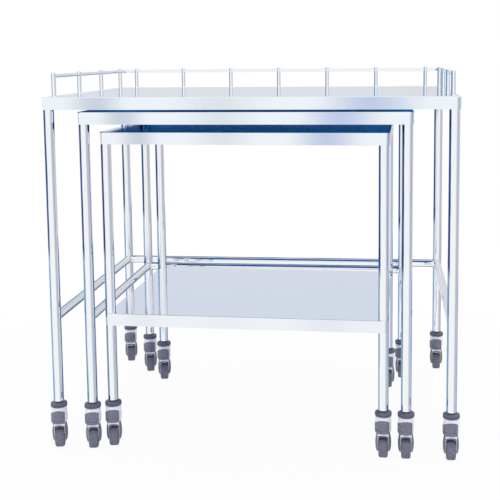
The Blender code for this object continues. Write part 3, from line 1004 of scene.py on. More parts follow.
@dataclass
class Castor:
    """A swivel castor: buffer ring on the leg, fork with its cup and ribbed hood, and the wheel.

    Attributes:
        trail: How far the axle stands behind the swivel axis.
        wheel_radius: Radius of the wheel, which is also its height above the floor.
        wheel_width: Width of the tread.
        tread_rounding: Radius of the tread's shoulders.
        core_share: Radius of the wheel's core, as a share of the wheel's.
        cheek_inside: Distance from the middle plane to the fork's inner faces.
        cheek_outside: Distance from the middle plane to the widest point of the side covers.
        plate: Thickness of the fork's side plates.
        head_radius: Radius of the cup that turns on the pin.
        head_bottom: Height of the crown's upper face, under the cup.
        head_top: Height of the cup's upper face.
        buffer_radius: Radius of the buffer ring.
        buffer_bottom: Height of its lower face.
        buffer_top: Height of its upper edge, at the leg.
        buffer_rim: Rounding of its rim.
        buffer_groove: Depth of its moulded grooves.
        cheek_bottom: Height of the cheeks' lower ends.
        cheek_top: Height of the cheeks' upper ends.
        cheek_foot: Radius of the cheeks round the axle.
        axle_radius: Radius of the axle pin.
        hood_bottom: Height of the hood's lower rim.
        hood_side: Height of its upper rim at the sides.
        hood_rise: How far that rim rises at the front.
        hood_span: Where the hood starts and ends round the cup, in degrees from the front; it stops short at
            the right so that the pale cup shows there as a painted highlight.
        hood_steps: Its columns and rows.
        hood_rib: Height of its ribs.
        hood_pitch: Distance between its ribs.
        neck_radius: Radius of the leg's neck inside the buffer.
        leg_radius: Radius of the leg.
        sides: Steps round each turned piece.
    """

    trail: float = 0.005
    wheel_radius: float = 0.024
    wheel_width: float = 0.0225
    tread_rounding: float = 0.0052
    core_share: float = 0.66
    cheek_inside: float = 0.0118
    cheek_outside: float = 0.0193
    plate: float = 0.0016
    head_radius: float = 0.0194
    head_bottom: float = 0.0635
    head_top: float = 0.1064
    buffer_radius: float = 0.0204
    buffer_bottom: float = 0.1070
    buffer_top: float = 0.1175
    buffer_rim: float = 0.0020
    buffer_groove: float = 0.0009
    cheek_bottom: float = 0.0170
    cheek_top: float = 0.0610
    cheek_foot: float = 0.010
    axle_radius: float = 0.0040
    hood_bottom: float = 0.0676
    hood_side: float = 0.0880
    hood_rise: float = 0.0112
    hood_span: Pair = (-248.0, 48.0)
    hood_steps: tuple[int, int] = (72, 26)
    hood_rib: float = 0.00045
    hood_pitch: float = 0.0054
    neck_radius: float = 0.0083
    leg_radius: float = 0.0127
    sides: int = 64

    def turned(self, name: str, profile: Profile, on_axle: bool = False) -> bpy.types.Mesh:
        """Turn a ring on the lathe.

        Args:
            name: The mesh's name.
            profile: Its (radius, height) points, all round.
            on_axle: True where its axis lies along X in place of Z.

        Returns:
            The mesh.
        """
        bm = bmesh.new()
        lathe(bm, profile, self.sides, closed=True)
        if on_axle:
            bmesh.ops.rotate(bm, verts=bm.verts, cent=(0, 0, 0), matrix=Matrix.Rotation(math.pi / 2, 3, "Y"))
        return finish_mesh(bm, name)

    def buffer(self) -> bpy.types.Mesh:
        """Build the round buffer with a rolled rim, two moulded grooves and a sloped shoulder.

        Returns:
            The mesh.
        """
        low, high, rim = self.buffer_bottom, self.buffer_top, self.buffer_rim
        bevel, shoulder_drop, lip, notch = 0.0006, 0.0034, 0.0010, 0.0008
        edge = self.buffer_radius - rim
        side_low, side_high = low + rim, high - shoulder_drop
        profile = [(self.neck_radius, low + bevel)]
        profile += arc((edge, low + rim), rim, 270, 360, 8)
        for share in (0.3, 0.7):
            middle = side_low + (side_high - side_low) * share
            profile += [(self.buffer_radius, middle - notch), (self.buffer_radius - self.buffer_groove, middle)]
            profile += [(self.buffer_radius, middle + notch)]
        profile += arc((edge, side_high), rim, 0, 62, 6)
        shoulder = self.leg_radius + lip
        profile += [(shoulder + lip, high - notch), (shoulder, high), (self.neck_radius, high)]
        return self.turned("buffer", profile)

    def tyre(self) -> bpy.types.Mesh:
        """Build the wheel's tread with rounded shoulders, its axle along X and its middle at the origin.

        Returns:
            The mesh.
        """
        half, rounding = self.wheel_width / 2, self.tread_rounding
        recess, hollow, wall_depth = 0.0012, 0.0003, 0.0068
        inner, wall = self.wheel_radius * self.core_share, self.wheel_radius - wall_depth
        profile = [(inner, -half + recess), (wall, -half + hollow)]
        for side, start in ((-1, 270), (1, 0)):
            centre = (self.wheel_radius - rounding, side * (half - rounding))
            profile += arc(centre, rounding, start, start + 90, 8)
        profile += [(wall, half - hollow), (inner, half - recess)]
        return self.turned("tyre", profile, on_axle=True)

    def hub(self) -> bpy.types.Mesh:
        """Build the wheel's core with a dished web each side and a bore for the axle.

        Returns:
            The mesh.
        """
        proud, play, slope, recess, dish = 0.00015, 0.0001, 0.0006, 0.0012, 0.0022
        axle_play, rim_width, boss_width = 0.0003, 0.0022, 0.0026
        half = self.wheel_width / 2 + proud
        outer = self.wheel_radius * self.core_share - play
        bore = self.axle_radius + axle_play
        rim, boss = outer - rim_width, bore + boss_width
        profile = [(bore, -half), (boss, -half), (boss + slope, -half + dish), (rim - slope, -half + dish)]
        profile += [(rim, -half + recess), (outer, -half + recess)]
        profile += [(radius, -height) for radius, height in reversed(profile)]
        return self.turned("hub", profile, on_axle=True)

    def cheek_half_depth(self, height: float) -> float:
        """Find half the depth of a cheek: round at its foot, and widening slowly above the axle.

        Args:
            height: Height above the floor.

        Returns:
            Half the depth there.
        """
        narrowest, widening = 0.0026, 0.0025
        if height < self.wheel_radius:
            across = math.sqrt(max(self.cheek_foot**2 - (self.wheel_radius - height) ** 2, 0))
            return max(across, narrowest)
        share = (height - self.wheel_radius) / (self.cheek_top - self.wheel_radius)
        return self.cheek_foot + share * widening

    def cheek_levels(self, count: int) -> list[float]:
        """List the heights of a cheek's rings, closer together at the rounded foot."""
        rise = self.cheek_top - self.cheek_bottom
        return [self.cheek_bottom + rise * (step / count) ** 1.5 for step in range(count + 1)]

    def cup(self) -> bpy.types.Mesh:
        """Build the pale cup that turns on the pin, with the crown under it. Its near-white colour is partly
        the cup's own light finish and partly painted highlight.

        Returns:
            The mesh.
        """
        waist, wall, socket, mouth, deep = 0.0150, self.head_radius - 0.0004, 0.0056, 0.0075, 0.02
        lap, bevel, rounding = 0.001, 0.0006, 0.0018
        foot, top = self.hood_bottom + lap, self.head_top
        line = [(0.0, self.head_bottom - lap), (waist, self.head_bottom - lap), (waist, foot)]
        line += [(wall - bevel, foot), (wall, foot + bevel)]
        line += arc((wall - rounding, top - rounding), rounding, 0, 90, 5)
        line += [(mouth, top), (socket, top - lap), (socket, top - deep), (0.0, top - deep)]
        bm = bmesh.new()
        lathe(bm, line, self.sides)
        self.crown(bm)
        return finish_mesh(bm, "cup")

    def plates(self) -> bpy.types.Mesh:
        """Build the fork's two side plates and its axle.

        Returns:
            The mesh.
        """
        bm = bmesh.new()
        for side in (-1, 1):
            self.side_plate(bm, side)
        self.axle(bm)
        return finish_mesh(bm, "plates")

    def side_plate(self, bm: bmesh.types.BMesh, side: int) -> None:
        """Add one flat side plate of the fork, with softened edges.

        Args:
            bm: The bmesh that gets it.
            side: -1 for the left plate, 1 for the right.
        """
        soft = 0.0004
        inside, outside = self.cheek_inside, self.cheek_inside + self.plate
        rings = []
        for height in self.cheek_levels(14):
            half = self.cheek_half_depth(height)
            section = [(inside, -half + soft), (inside, half - soft), (inside + soft, half)]
            section += [(outside - soft, half), (outside, half - soft), (outside, -half + soft)]
            section += [(outside - soft, -half), (inside + soft, -half)]
            rings.append([bm.verts.new((side * x, self.trail + y, height)) for x, y in section])
        loft(bm, rings)

    def crown(self, bm: bmesh.types.BMesh) -> None:
        """Add the arched crown between the cheeks, a rounded strip bent over the wheel.

        Args:
            bm: The bmesh that gets it.
        """
        half = self.cheek_inside + self.plate
        top, thick, bevel = self.head_bottom + 0.0006, 0.0062, 0.0008
        arch = ((-1.0, -0.001), (-0.6, 0.0012), (0.0, 0.002), (0.6, 0.0012), (1.0, -0.001))
        rings = []
        for y, lift in ((-0.0128, -bevel), (-0.0120, 0.0), (0.0170, 0.0), (0.0178, -bevel)):
            line = [(half * share, top + lift) for share in (1.0, 0.5, 0.0, -0.5, -1.0)]
            line += [(half * share, top - thick + rise - lift) for share, rise in arch]
            rings.append([bm.verts.new((x, y, z)) for x, z in line])
        loft(bm, rings)

    def lining(self) -> bpy.types.Mesh:
        """Build the dark arched piece between the crown and the wheel, painted shade that stands for the
        shadowed slot there.

        Returns:
            The mesh.
        """
        bm = bmesh.new()
        half = self.cheek_inside - 0.0001
        top, low, rise = self.head_bottom - 0.0030, 0.0503, 0.0030
        rings = []
        for y in (-0.0050, 0.0160):
            line = [(half * share, top) for share in (1.0, 0.5, 0.0, -0.5, -1.0)]
            line += [(half * share, low + rise * (1 - share**2)) for share in (-1.0, -0.5, 0.0, 0.5, 1.0)]
            rings.append([bm.verts.new((x, y, z)) for x, z in line])
        loft(bm, rings)
        return finish_mesh(bm, "lining")

    def axle(self, bm: bmesh.types.BMesh) -> None:
        """Add the axle pin through both cheeks.

        Args:
            bm: The bmesh that gets it.
        """
        recess = 0.0022
        turn = Matrix.Rotation(math.pi / 2, 4, "Y")
        bmesh.ops.create_cone(
            bm,
            cap_ends=True,
            segments=24,
            radius1=self.axle_radius,
            radius2=self.axle_radius,
            depth=2 * (self.cheek_outside - recess),
            matrix=Matrix.Translation((0, self.trail, self.wheel_radius)) @ turn,
        )

    def covers(self) -> bpy.types.Mesh:
        """Build the moulded parts of the fork: the ribbed hood and a domed cover on each cheek.

        Returns:
            The mesh.
        """
        bm = bmesh.new()
        self.hood(bm)
        for side in (-1, 1):
            self.side_cover(bm, side)
        return finish_mesh(bm, "covers")

    def hood(self, bm: bmesh.types.BMesh) -> None:
        """Add the ribbed hood that wraps the cup and leaves a slot at its right, where the pale cup shows
        through as a painted highlight strip.

        Args:
            bm: The bmesh that gets it.
        """
        start, stop = (math.radians(angle) for angle in self.hood_span)
        columns, rows = self.hood_steps
        inner, outer = self.head_radius - 0.0003, self.head_radius + 0.0009
        sag, seam_rise, seam_depth, seam_width, soft_rim = 0.0016, 0.0062, 0.0010, 0.0013, 0.0003
        loops = []
        for column in range(columns + 1):
            angle = start + (stop - start) * column / columns
            front = max(math.cos(angle), 0.0)
            bottom = self.hood_bottom - sag * front
            rise = self.hood_side + self.hood_rise * front**1.3 - bottom
            across, along = math.sin(angle), -math.cos(angle)
            outer_line, inner_line = [], []
            for row in range(rows + 1):
                share = row / rows
                height = bottom + rise * share
                seam = (height - self.hood_bottom - seam_rise) / seam_width
                radius = outer + self.hood_rib * math.sin(height * math.tau / self.hood_pitch)
                radius -= seam_depth * math.exp(-(seam**2))
                radius -= soft_rim * max(abs(share - 0.5) * 2 - 0.94, 0) * 16
                outer_line.append(bm.verts.new((radius * across, radius * along, height)))
                inner_line.append(bm.verts.new((inner * across, inner * along, height)))
            loops.append(outer_line + inner_line[::-1])
        loft(bm, loops)

    def side_cover(self, bm: bmesh.types.BMesh, side: int) -> None:
        """Add one domed side cover, bulging at mid height and rounded off at its foot.

        Args:
            bm: The bmesh that gets it.
            side: -1 for the left cover, 1 for the right.
        """
        inside, steps = self.cheek_inside + self.plate, 12
        top_taper, foot_taper, toe, play = 0.0030, 0.0022, 0.0040, 0.0002
        rings = []
        for height in self.cheek_levels(18):
            share = (2 * height - self.cheek_top - self.cheek_bottom) / (self.cheek_top - self.cheek_bottom)
            bulge = self.cheek_outside - (top_taper if share > 0 else foot_taper) * share**2
            bulge -= toe * max(-share - 0.75, 0)
            half = self.cheek_half_depth(height) - play
            section = [(inside, half)]
            for step in range(steps + 1):
                across = math.cos(math.pi * step / steps)
                section.append((inside + (bulge - inside) * (1 - abs(across) ** 2.6), half * across))
            section.append((inside, -half))
            rings.append([bm.verts.new((side * x, self.trail + y, height)) for x, y in section])
        loft(bm, rings)


class Mover(Enum):
    """What carries a piece of a castor, as the start of that body's name at a corner."""

    TROLLEY = ""
    FORK = "castor"
    WHEEL = "wheel"


@dataclass(frozen=True)
class CastorPiece:
    """One piece of a castor, made once and set at each corner.

    Attributes:
        owner: The start of its name: the node that it stands for, or the castor.
        suffix: The end of its name.
        mesh: Its pattern.
        finish: Its finish.
        mover: What carries it.
        slot: The record's material slot. Not used.
    """

    owner: str
    suffix: str
    mesh: bpy.types.Mesh
    finish: Moulding
    mover: Mover
    slot: str = "castor_plastic"


@dataclass
class Trolley:
    """One trolley of the nest, placed where the frame has it.

    Attributes:
        name: Its body, and the start of its nodes' names.
        width: Width of its top.
        depth: Depth of its top.
        height: Height of its top.
        middle: Where its middle stands on the floor.
        turn: How far it is turned, in radians.
        castor_turns: How far each castor is turned on the trolley, in radians.
        workshop: The shared Geometry Nodes trees.
        leg_radius: Radius of its legs.
        leg_inset: Distance of a leg's middle from the top's edges.
        leg_end: Height of the tube's lower end.
        plug_radius: Radius of the hollow in the tube's lower end.
        plug_top: Height of the neck in it.
        rail_radius: Radius of the lower rails.
        rail_height: Height of their middle.
        rail_bite: How far a rail's end goes into a leg, as a share of the leg's radius from its middle.
        weld_pitch: Distance between the ripples of a weld.
        weld_width: Radius of a ripple.
        tube_sides: Steps round a tube.
    """

    name: str
    width: float
    depth: float
    height: float
    middle: Vector
    turn: float
    castor_turns: dict[End, float]
    workshop: Workshop
    leg_radius: float = 0.0127
    leg_inset: float = 0.0145
    leg_end: float = 0.1195
    plug_radius: float = 0.0078
    plug_top: float = 0.1074
    rail_radius: float = 0.0111
    rail_height: float = 0.333
    rail_bite: float = 0.55
    weld_pitch: float = 0.0011
    weld_width: float = 0.0012
    tube_sides: int = 64

    @property
    def placing(self) -> Matrix:
        """Give the matrix from the trolley's own middle to the frame."""
        return Matrix.Translation(self.middle) @ Matrix.Rotation(self.turn, 4, "Z")

    def leg_axis(self, end: End) -> Pair:
        """Give a leg's X and Y from the trolley's middle."""
        _, side, rear = end.value
        return side * (self.width / 2 - self.leg_inset), rear * (self.depth / 2 - self.leg_inset)

    def place(self, mesh: bpy.types.Mesh, shift: Point = (0, 0, 0), turn: float = 0.0) -> bpy.types.Mesh:
        """Move a mesh from its own place on the trolley, shifted and turned in radians, to the frame."""
        mesh.transform(self.placing @ Matrix.Translation(shift) @ Matrix.Rotation(turn, 4, "Z"))
        return mesh

    def build_top(self) -> None:
        """Build and dress the folded sheet top."""
        node = self.name + "_top"
        sheet = FoldedSheet(self.width, self.depth, self.height, self.leg_inset)
        mesh = self.place(sheet.mesh(node))
        show(node + "_sheet", mesh, (SHEET_FACE, SHEET_UNDERSIDE_SHADE), self.name, [node])

    def leg_mesh(self) -> bpy.types.Mesh:
        """Build a leg tube with a rounded end and its plug, standing on the floor's origin.

        Returns:
            The mesh.
        """
        gap, soft, recess, wall, ring = 0.0028, 0.0026, 0.0012, 0.0008, 0.01
        top = self.height - gap
        hollow = self.leg_end - recess
        profile = [(0.0, self.plug_top), (self.plug_radius, self.plug_top), (self.plug_radius, hollow)]
        profile += [(self.leg_radius - soft - wall, hollow)]
        profile += arc((self.leg_radius - soft, self.leg_end + soft), soft, 270, 360, 6)
        profile += [(self.leg_radius, self.leg_end + ring), (self.leg_radius, top - ring)]
        profile += [(self.leg_radius, top), (0.0, top)]
        bm = bmesh.new()
        lathe(bm, profile, self.tube_sides)
        return finish_mesh(bm, "leg")

    def build_legs(self) -> None:
        """Build and dress the four legs."""
        pattern = self.leg_mesh()
        for end in End:
            x, y = self.leg_axis(end)
            node = f"{self.name}_leg_{end.tag}"
            finish = LEFT_UPRIGHT if x < 0 else RIGHT_UPRIGHT
            show(node + "_tube", self.place(pattern.copy(), (x, y, 0)), (finish,), self.name, [node])

    def build_rails(self) -> None:
        """Build and dress the left, right and rear lower rails, each ending inside the tubes that it meets."""
        x, y = self.leg_axis(End.REAR_RIGHT)
        z = self.rail_height
        bite = self.leg_radius * self.rail_bite
        side_end, rear_end = y - bite, x - bite
        runs = {
            "left": ((-x, -side_end, z), (-x, side_end, z), LEFT_RAIL),
            "right": ((x, -side_end, z), (x, side_end, z), RIGHT_RAIL),
            "rear": ((-rear_end, y, z), (rear_end, y, z), CROSS_RAIL),
        }
        sizes = {"Radius": self.rail_radius, "Sides": self.tube_sides}
        for run, (start, stop, finish) in runs.items():
            mesh = self.workshop.tube.run(path_mesh((start, stop)), finish.material(), **sizes)
            node = f"{self.name}_rail_{run}"
            show(node + "_tube", self.place(mesh), (finish,), self.name, [node])

    def saddle(self, end: End, along: Vector) -> list[Vector]:
        """Find the closed line where a rail meets a leg.

        Args:
            end: The leg's corner.
            along: Direction from the leg along the rail.

        Returns:
            Points on the trolley.
        """
        x, y = self.leg_axis(end)
        centre = Vector((x, y, self.rail_height))
        across = along.cross(Vector((0, 0, 1)))
        points, steps = [], 32
        for step in range(steps):
            angle = math.tau * step / steps
            out = self.rail_radius * math.cos(angle)
            reach = math.sqrt(self.leg_radius**2 - out**2)
            up = Vector((0, 0, self.rail_radius * math.sin(angle)))
            points.append(centre + along * reach + across * out + up)
        return points

    def build_welds(self) -> None:
        """Lay a rippled weld round each joint of a lower rail and a leg."""
        joints = []
        for end in End:
            _, side, rear = end.value
            joints.append(self.saddle(end, Vector((0, -rear, 0))))
            if rear > 0:
                joints.append(self.saddle(end, Vector((-side, 0, 0))))
        sizes = {"Pitch": self.weld_pitch, "Width": self.weld_width}
        whole = bmesh.new()
        for points in joints:
            whole.from_mesh(self.workshop.bead.run(path_mesh(points, closed=True), WELD.material(), **sizes))
        mesh = bpy.data.meshes.new("welds")
        whole.to_mesh(mesh)
        whole.free()
        show(self.name + "_rail_welds", self.place(mesh), (WELD,), self.name)

    def build_castors(self, castor: Castor) -> None:
        """Build and dress the four castors.

        Args:
            castor: The castor's sizes.
        """
        pieces = (
            CastorPiece("bumper", "ring", castor.buffer(), BUFFER, Mover.TROLLEY),
            CastorPiece("fork", "covers", castor.covers(), HOOD, Mover.FORK),
            CastorPiece("castor", "cup", castor.cup(), CUP, Mover.FORK, "steel_tube"),
            CastorPiece("castor", "plates", castor.plates(), PLATE, Mover.FORK),
            CastorPiece("castor", "lining", castor.lining(), SLOT_SHADE, Mover.FORK),
            CastorPiece("wheel", "tyre", castor.tyre(), TYRE, Mover.WHEEL, "wheel_rubber"),
            CastorPiece("castor", "hub", castor.hub(), HUB, Mover.WHEEL),
        )
        for end in End:
            x, y = self.leg_axis(end)
            turn = self.castor_turns[end]
            behind = (-castor.trail * math.sin(turn), castor.trail * math.cos(turn))
            axle = (x + behind[0], y + behind[1], castor.wheel_radius)
            for piece in pieces:
                shift = axle if piece.mover is Mover.WHEEL else (x, y, 0)
                mesh = self.place(piece.mesh.copy(), shift, turn)
                owner = f"{self.name}_{piece.owner}_{end.tag}"
                body = f"{self.name}_{piece.mover.value}_{end.tag}" if piece.mover.value else self.name
                nodes = [] if piece.owner == "castor" else [owner]
                show(f"{owner}_{piece.suffix}", mesh, (piece.finish,), body, nodes)

    def build(self, castor: Castor) -> None:
        """Build every piece of the trolley.

        Args:
            castor: The castor's sizes.
        """
        self.build_top()
        self.build_legs()
        self.build_castors(castor)


@dataclass
class OpenTrolley(Trolley):
    """A trolley with lower rails in place of a shelf, open at the front."""

    def build(self, castor: Castor) -> None:
        """Build every piece of the trolley.

        Args:
            castor: The castor's sizes.
        """
        super().build(castor)
        self.build_rails()
        self.build_welds()


@dataclass
class GuardedTrolley(OpenTrolley):
    """The large trolley, whose top has a guard rail round three sides.

    Attributes:
        guard_inset: Distance of the guard rail's middle from the top's edges.
        guard_radius: Radius of the guard rail.
        guard_height: Height of its middle above the top.
        guard_corner: Radius of its two rear bends.
        guard_steps: Pieces of each of its side runs.
        guard_sides: Steps round the rail.
        post_radius: Radius of a post.
        post_height: Height of a post with its domed tip.
        post_foot: Thickness of the weld at a post's foot.
        front_post: Distance of the foremost posts from the top's front edge.
        last_post_gap: Distance of the rearmost side posts from the rear run.
        back_post_end: Distance of the rear run's outer posts from its ends.
        side_posts: Number of posts on each side.
        back_posts: Number of posts at the back.
    """

    guard_inset: float = 0.016
    guard_radius: float = 0.0044
    guard_height: float = 0.050
    guard_corner: float = 0.012
    guard_steps: int = 12
    guard_sides: int = 40
    post_radius: float = 0.0054
    post_height: float = 0.059
    post_foot: float = 0.0012
    front_post: float = 0.053
    last_post_gap: float = 0.045
    back_post_end: float = 0.039
    side_posts: int = 4
    back_posts: int = 7

    def build(self, castor: Castor) -> None:
        """Build every piece of the trolley.

        Args:
            castor: The castor's sizes.
        """
        super().build(castor)
        self.build_guard_rail()
        self.build_posts()

    @property
    def guard_lines(self) -> tuple[float, float, float]:
        """Give the guard rail's side, back and front, from the trolley's middle.

        Returns:
            The three distances.
        """
        side = self.width / 2 - self.guard_inset
        back = self.depth / 2 - self.guard_inset
        return side, back, self.front_post - self.depth / 2

    def build_guard_rail(self) -> None:
        """Sweep the guard rail up the left side, across the back and down the right side."""
        side, back, front = self.guard_lines
        z, steps, before_bend = self.height + self.guard_height, self.guard_steps, 0.02
        run = [front + (back - front - before_bend) * k / steps for k in range(steps + 1)]
        points = [Vector((-side, y, z)) for y in run]
        for direction, start in ((-1, 180), (1, 90)):
            centre = (direction * (side - self.guard_corner), back - self.guard_corner)
            for x, y in arc(centre, self.guard_corner, start, start - 90, 10):
                points.append(Vector((x, y, z)))
        points += [Vector((side, y, z)) for y in reversed(run)]
        sizes = {"Radius": self.guard_radius, "Sides": self.guard_sides}
        mesh = self.workshop.tube.run(path_mesh(points), GUARD_ROD.material(), **sizes)
        show("guard_rail", self.place(mesh), (GUARD_ROD,), self.name, ["large_gallery"])

    def post_places(self) -> list[Point]:
        """List where the posts stand.

        Returns:
            The places on the trolley's top.
        """
        side, back, front = self.guard_lines
        places = []
        pitch = (back - self.last_post_gap - front) / (self.side_posts - 1)
        for n in range(self.side_posts):
            places += [(-side, front + n * pitch, self.height), (side, front + n * pitch, self.height)]
        pitch = 2 * (side - self.back_post_end) / (self.back_posts - 1)
        for n in range(self.back_posts):
            places.append(((n - (self.back_posts - 1) / 2) * pitch, back, self.height))
        return places

    def build_posts(self) -> None:
        """Stand the guard rail's posts on the top."""
        start = bpy.data.meshes.new("post_places")
        start.from_pydata(self.post_places(), [], [])
        sizes = {"Radius": self.post_radius, "Height": self.post_height, "Foot": self.post_foot}
        mesh = self.workshop.post.run(start, GUARD_ROD.material(), **sizes)
        mesh.set_sharp_from_angle(angle=SHARP_ANGLE)
        show("guard_posts", self.place(mesh), (GUARD_ROD,), self.name)


@dataclass
class ShelfTrolley(Trolley):
    """The small trolley, with a folded sheet shelf between its legs.

    Attributes:
        shelf_height: Height of the shelf's upper face.
        shelf_inset: Distance of its sides from the top's sides.
        shelf_corner: Radius of its corners, which the legs' notches cut away.
        leg_clearance: Gap between a leg and its notch.
    """

    shelf_height: float = 0.343
    shelf_inset: float = 0.007
    shelf_corner: float = 0.005
    leg_clearance: float = 0.0005

    def build(self, castor: Castor) -> None:
        """Build every piece of the trolley."""
        super().build(castor)
        self.build_shelf()

    def leg_spaces(self) -> bpy.types.Mesh:
        """Build the four posts that cut the shelf's notches.

        Returns:
            The mesh.
        """
        bm = bmesh.new()
        radius = self.leg_radius + self.leg_clearance
        for end in End:
            x, y = self.leg_axis(end)
            bmesh.ops.create_cone(
                bm,
                cap_ends=True,
                segments=self.tube_sides,
                radius1=radius,
                radius2=radius,
                depth=0.12,
                matrix=Matrix.Translation((x, y, self.shelf_height)),
            )
        return finish_mesh(bm, "leg_spaces")

    def build_shelf(self) -> None:
        """Build the shelf and cut its corners round the legs."""
        width = self.width - 2 * self.shelf_inset
        sheet = FoldedSheet(width, self.depth, self.shelf_height, self.shelf_corner)
        holder = bpy.data.objects.new("shelf", sheet.mesh("shelf"))
        cutter = bpy.data.objects.new("leg_spaces", self.leg_spaces())
        for item in (holder, cutter):
            bpy.context.scene.collection.objects.link(item)
        cut = holder.modifiers.new("notches", "BOOLEAN")
        cut.operation = "DIFFERENCE"
        cut.object = cutter
        graph = bpy.context.evaluated_depsgraph_get()
        mesh = bpy.data.meshes.new_from_object(holder.evaluated_get(graph))
        for item in (holder, cutter):
            bpy.data.objects.remove(item, do_unlink=True)
        mesh.set_sharp_from_angle(angle=SHEET_SHARP_ANGLE)
        finishes = (SHELF_FACE, SHEET_UNDERSIDE_SHADE)
        show("small_shelf_sheet", self.place(mesh), finishes, self.name, ["small_shelf"])


@dataclass(frozen=True)
class Panel:
    """A part of the studio that shows only in the steel.

    Attributes:
        bearing: Its middle and half its width, in degrees to the right of +Y.
        elevation: Its lower and its upper edge, in degrees above the floor.
        colour: The light that it sends.
        soft: Width of its soft edges, in degrees.
    """

    bearing: Pair
    elevation: Pair
    colour: Colour
    soft: float

    def mask(self, bench: NodeBench) -> bpy.types.NodeSocket:
        """Find how much of the panel shows in a direction, from 0 to 1.

        Args:
            bench: The world's node bench.

        Returns:
            The mask socket.
        """
        middle, half = (math.radians(value) for value in self.bearing)
        low, high = (math.radians(value) for value in self.elevation)
        soft = math.radians(self.soft) / 2
        turn = bench.add("ShaderNodeVectorRotate", rotation_type="Z_AXIS")
        turn.inputs["Angle"].default_value = middle
        bench.feed(turn.inputs["Vector"], bench.add("ShaderNodeTexCoord").outputs["Generated"])
        split = bench.add("ShaderNodeSeparateXYZ")
        bench.feed(split.inputs[0], turn.outputs[0])
        x, y, z = split.outputs
        aside = bench.math("ABSOLUTE", bench.math("ARCTAN2", x, y))
        rise = bench.math("ARCSINE", z)
        mask = bench.ramp(aside, half + soft, half - soft)
        for edge, inner in ((low, low + 2 * soft), (high, high - 2 * soft)):
            if abs(edge) < math.pi / 2:
                mask = bench.math("MULTIPLY", mask, bench.ramp(rise, edge, inner))
        return mask


BACKDROP = Panel((-8.0, 42.0), (-9.0, 32.0), (0.725, 0.745, 0.805), 6.0)
UPPER_BACKDROP = Panel((-8.0, 60.0), (10.0, 32.0), (0.690, 0.735, 0.810), 6.0)
NEAR_WALL = Panel((40.0, 34.0), (-90.0, 20.0), (0.67, 0.67, 0.67), 24.0)
RIGHT_WALL = Panel((94.0, 40.0), (-90.0, 24.0), (0.50, 0.54, 0.65), 30.0)
WHITE = (1.0, 1.0, 1.0, 1.0)


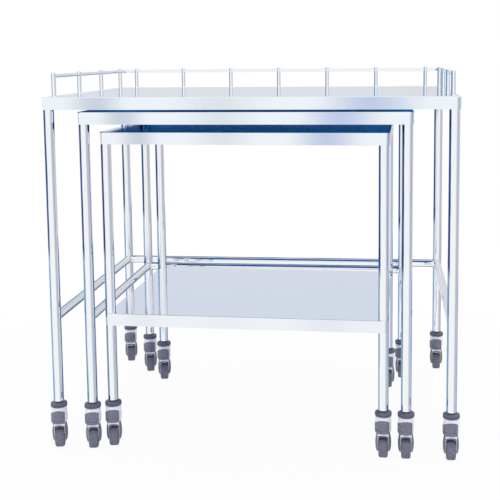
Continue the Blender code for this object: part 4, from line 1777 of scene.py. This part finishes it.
@dataclass
class Studio:
    """The floor, the surroundings that the steel mirrors, and the camera.

    Attributes:
        eye: Where the camera stands.
        yaw: How far it looks to the left of +Y, in radians.
        pitch: How far it looks down, in radians.
        roll: How far it leans, in radians.
        focal: Focal length, in photograph pixels.
        centre: Where the camera's axis meets the photograph, in its pixels.
        side: Width and height of the photograph, in pixels.
        sensor: Width of the camera's sensor, in millimetres.
        plain: The light that the steel sees where no panel stands.
        soft_light: The light that matt surfaces get from all round.
        floor_size: Half the floor's width.
        floor_white: How much of the floor is plain white to the camera, under the trolleys and far away.
        floor_reach: Where the floor starts to turn plain white, and where it is, from the nest's middle.
    """

    eye: Point = (0.3235, -2.5444, 0.9716)
    yaw: float = 0.10007
    pitch: float = 0.11074
    roll: float = -0.00762
    focal: float = 944.06
    centre: Pair = (290.0, 160.0)
    side: int = 500
    sensor: float = 36.0
    plain: Colour = (0.955, 0.955, 0.955)
    soft_light: Colour = (0.95, 0.96, 1.0)
    floor_size: float = 30.0
    floor_white: Pair = (0.94, 1.0)
    floor_reach: Pair = (0.6, 2.2)

    def build_camera(self) -> None:
        """Add the camera at the photograph's viewing angle."""
        data = bpy.data.cameras.new("camera")
        data.sensor_width = self.sensor
        data.lens = self.focal * data.sensor_width / self.side
        data.shift_x = (self.side / 2 - self.centre[0]) / self.side
        data.shift_y = (self.centre[1] - self.side / 2) / self.side
        data.clip_start = 0.05
        camera = bpy.data.objects.new("camera", data)
        camera.location = self.eye
        camera.rotation_euler = (math.pi / 2 - self.pitch, -self.roll, self.yaw)
        bpy.context.scene.collection.objects.link(camera)
        bpy.context.scene.camera = camera

    def build_floor(self) -> None:
        """Add a white floor that keeps a faint shadow near the wheels."""
        bm = bmesh.new()
        bmesh.ops.create_grid(bm, x_segments=4, y_segments=4, size=self.floor_size)
        mesh = finish_mesh(bm, "floor")
        material = bpy.data.materials.new("studio_floor")
        material.use_nodes = True
        tree = material.node_tree
        tree.nodes.clear()
        bench = NodeBench(tree)
        lit = bench.add("ShaderNodeBsdfDiffuse")
        lit.inputs["Color"].default_value = WHITE
        white = bench.add("ShaderNodeEmission")
        white.inputs["Color"].default_value = WHITE
        away = bench.add("ShaderNodeVectorMath", operation="LENGTH")
        bench.feed(away.inputs[0], bench.add("ShaderNodeTexCoord").outputs["Object"])
        far = bench.ramp(away.outputs["Value"], *self.floor_reach)
        ray = bench.add("ShaderNodeLightPath")
        seen = bench.math("MAXIMUM", ray.outputs["Is Camera Ray"], ray.outputs["Is Transmission Ray"])
        share = bench.math("MULTIPLY", bench.spread(far, *self.floor_white), seen)
        mix = bench.add("ShaderNodeMixShader")
        bench.feed(mix.inputs[0], share)
        bench.feed(mix.inputs[1], lit.outputs[0])
        bench.feed(mix.inputs[2], white.outputs[0])
        out = bench.add("ShaderNodeOutputMaterial")
        bench.feed(out.inputs["Surface"], mix.outputs[0])
        mesh.materials.append(material)
        floor = bpy.data.objects.new("floor", mesh)
        floor.visible_glossy = False
        bpy.context.scene.collection.objects.link(floor)

    def build_world(self) -> None:
        """Make the surroundings: white to the eye, plain to matt surfaces, and a studio to the steel."""
        world = bpy.data.worlds.new("studio")
        world.use_nodes = True
        bpy.context.scene.world = world
        bench = NodeBench(world.node_tree)
        backing = world.node_tree.nodes["Background"]
        ray = bench.add("ShaderNodeLightPath")
        colour = self.plain
        for panel in (BACKDROP, UPPER_BACKDROP, NEAR_WALL, RIGHT_WALL):
            colour = bench.blend(panel.mask(bench), colour, panel.colour)
        lit = bench.blend(ray.outputs["Is Glossy Ray"], self.soft_light, colour)
        clear = bench.math("MAXIMUM", ray.outputs["Is Camera Ray"], ray.outputs["Is Transmission Ray"])
        bench.feed(backing.inputs["Color"], bench.blend(clear, lit, WHITE))
        backing.inputs["Strength"].default_value = 1.0

    def build(self) -> None:
        """Build the whole studio."""
        self.build_camera()
        self.build_floor()
        self.build_world()
        bpy.context.scene.view_settings.view_transform = "Standard"


def read_trolley(frame: dict, kind: type[Trolley], name: str, size: Pair, workshop: Workshop) -> Trolley:
    """Place a trolley from the frame's joints and record.

    Args:
        frame: The loaded frame.
        kind: The class of trolley to make.
        name: The trolley's body.
        size: Width and depth of its top.
        workshop: The shared Geometry Nodes trees.

    Returns:
        The trolley, ready to build.
    """
    swivels = {j["name"]: Vector(j["pos_m"]) for j in frame["joints"] if j["name"].startswith(name + "_swivel")}
    corners = [swivels[f"{name}_swivel_{end.tag}"] for end in End]
    middle = sum(corners, Vector()) / len(corners)
    middle.z = 0.0
    front = corners[1] - corners[0]
    turn = math.atan2(front.y, front.x)
    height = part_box(name + "_top")[1].z
    axles = {j["name"]: Vector(j["axis"]) for j in frame["joints"] if j["name"].startswith(name + "_spin")}
    castor_turns = {}
    for end in End:
        axle = axles[f"{name}_spin_{end.tag}"]
        castor_turns[end] = math.atan2(axle.y, axle.x) - turn
    LOG.info("%s stands at %.4f, %.4f, turned %.2f degrees", name, middle.x, middle.y, math.degrees(turn))
    return kind(name, size[0], size[1], height, middle, turn, castor_turns, workshop)


def main() -> None:
    """Build the studio and the three trolleys round the frame."""
    logging.basicConfig(level=logging.INFO, format="%(message)s")
    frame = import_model()
    Studio().build()
    workshop = Workshop()
    castor = Castor()
    nest = (
        read_trolley(frame, GuardedTrolley, "large", (0.996, 0.700), workshop),
        read_trolley(frame, OpenTrolley, "medium", (0.802, 0.607), workshop),
        read_trolley(frame, ShelfTrolley, "small", (0.701, 0.520), workshop),
    )
    for trolley in nest:
        trolley.build(castor)


if __name__ == "__main__":
    main()
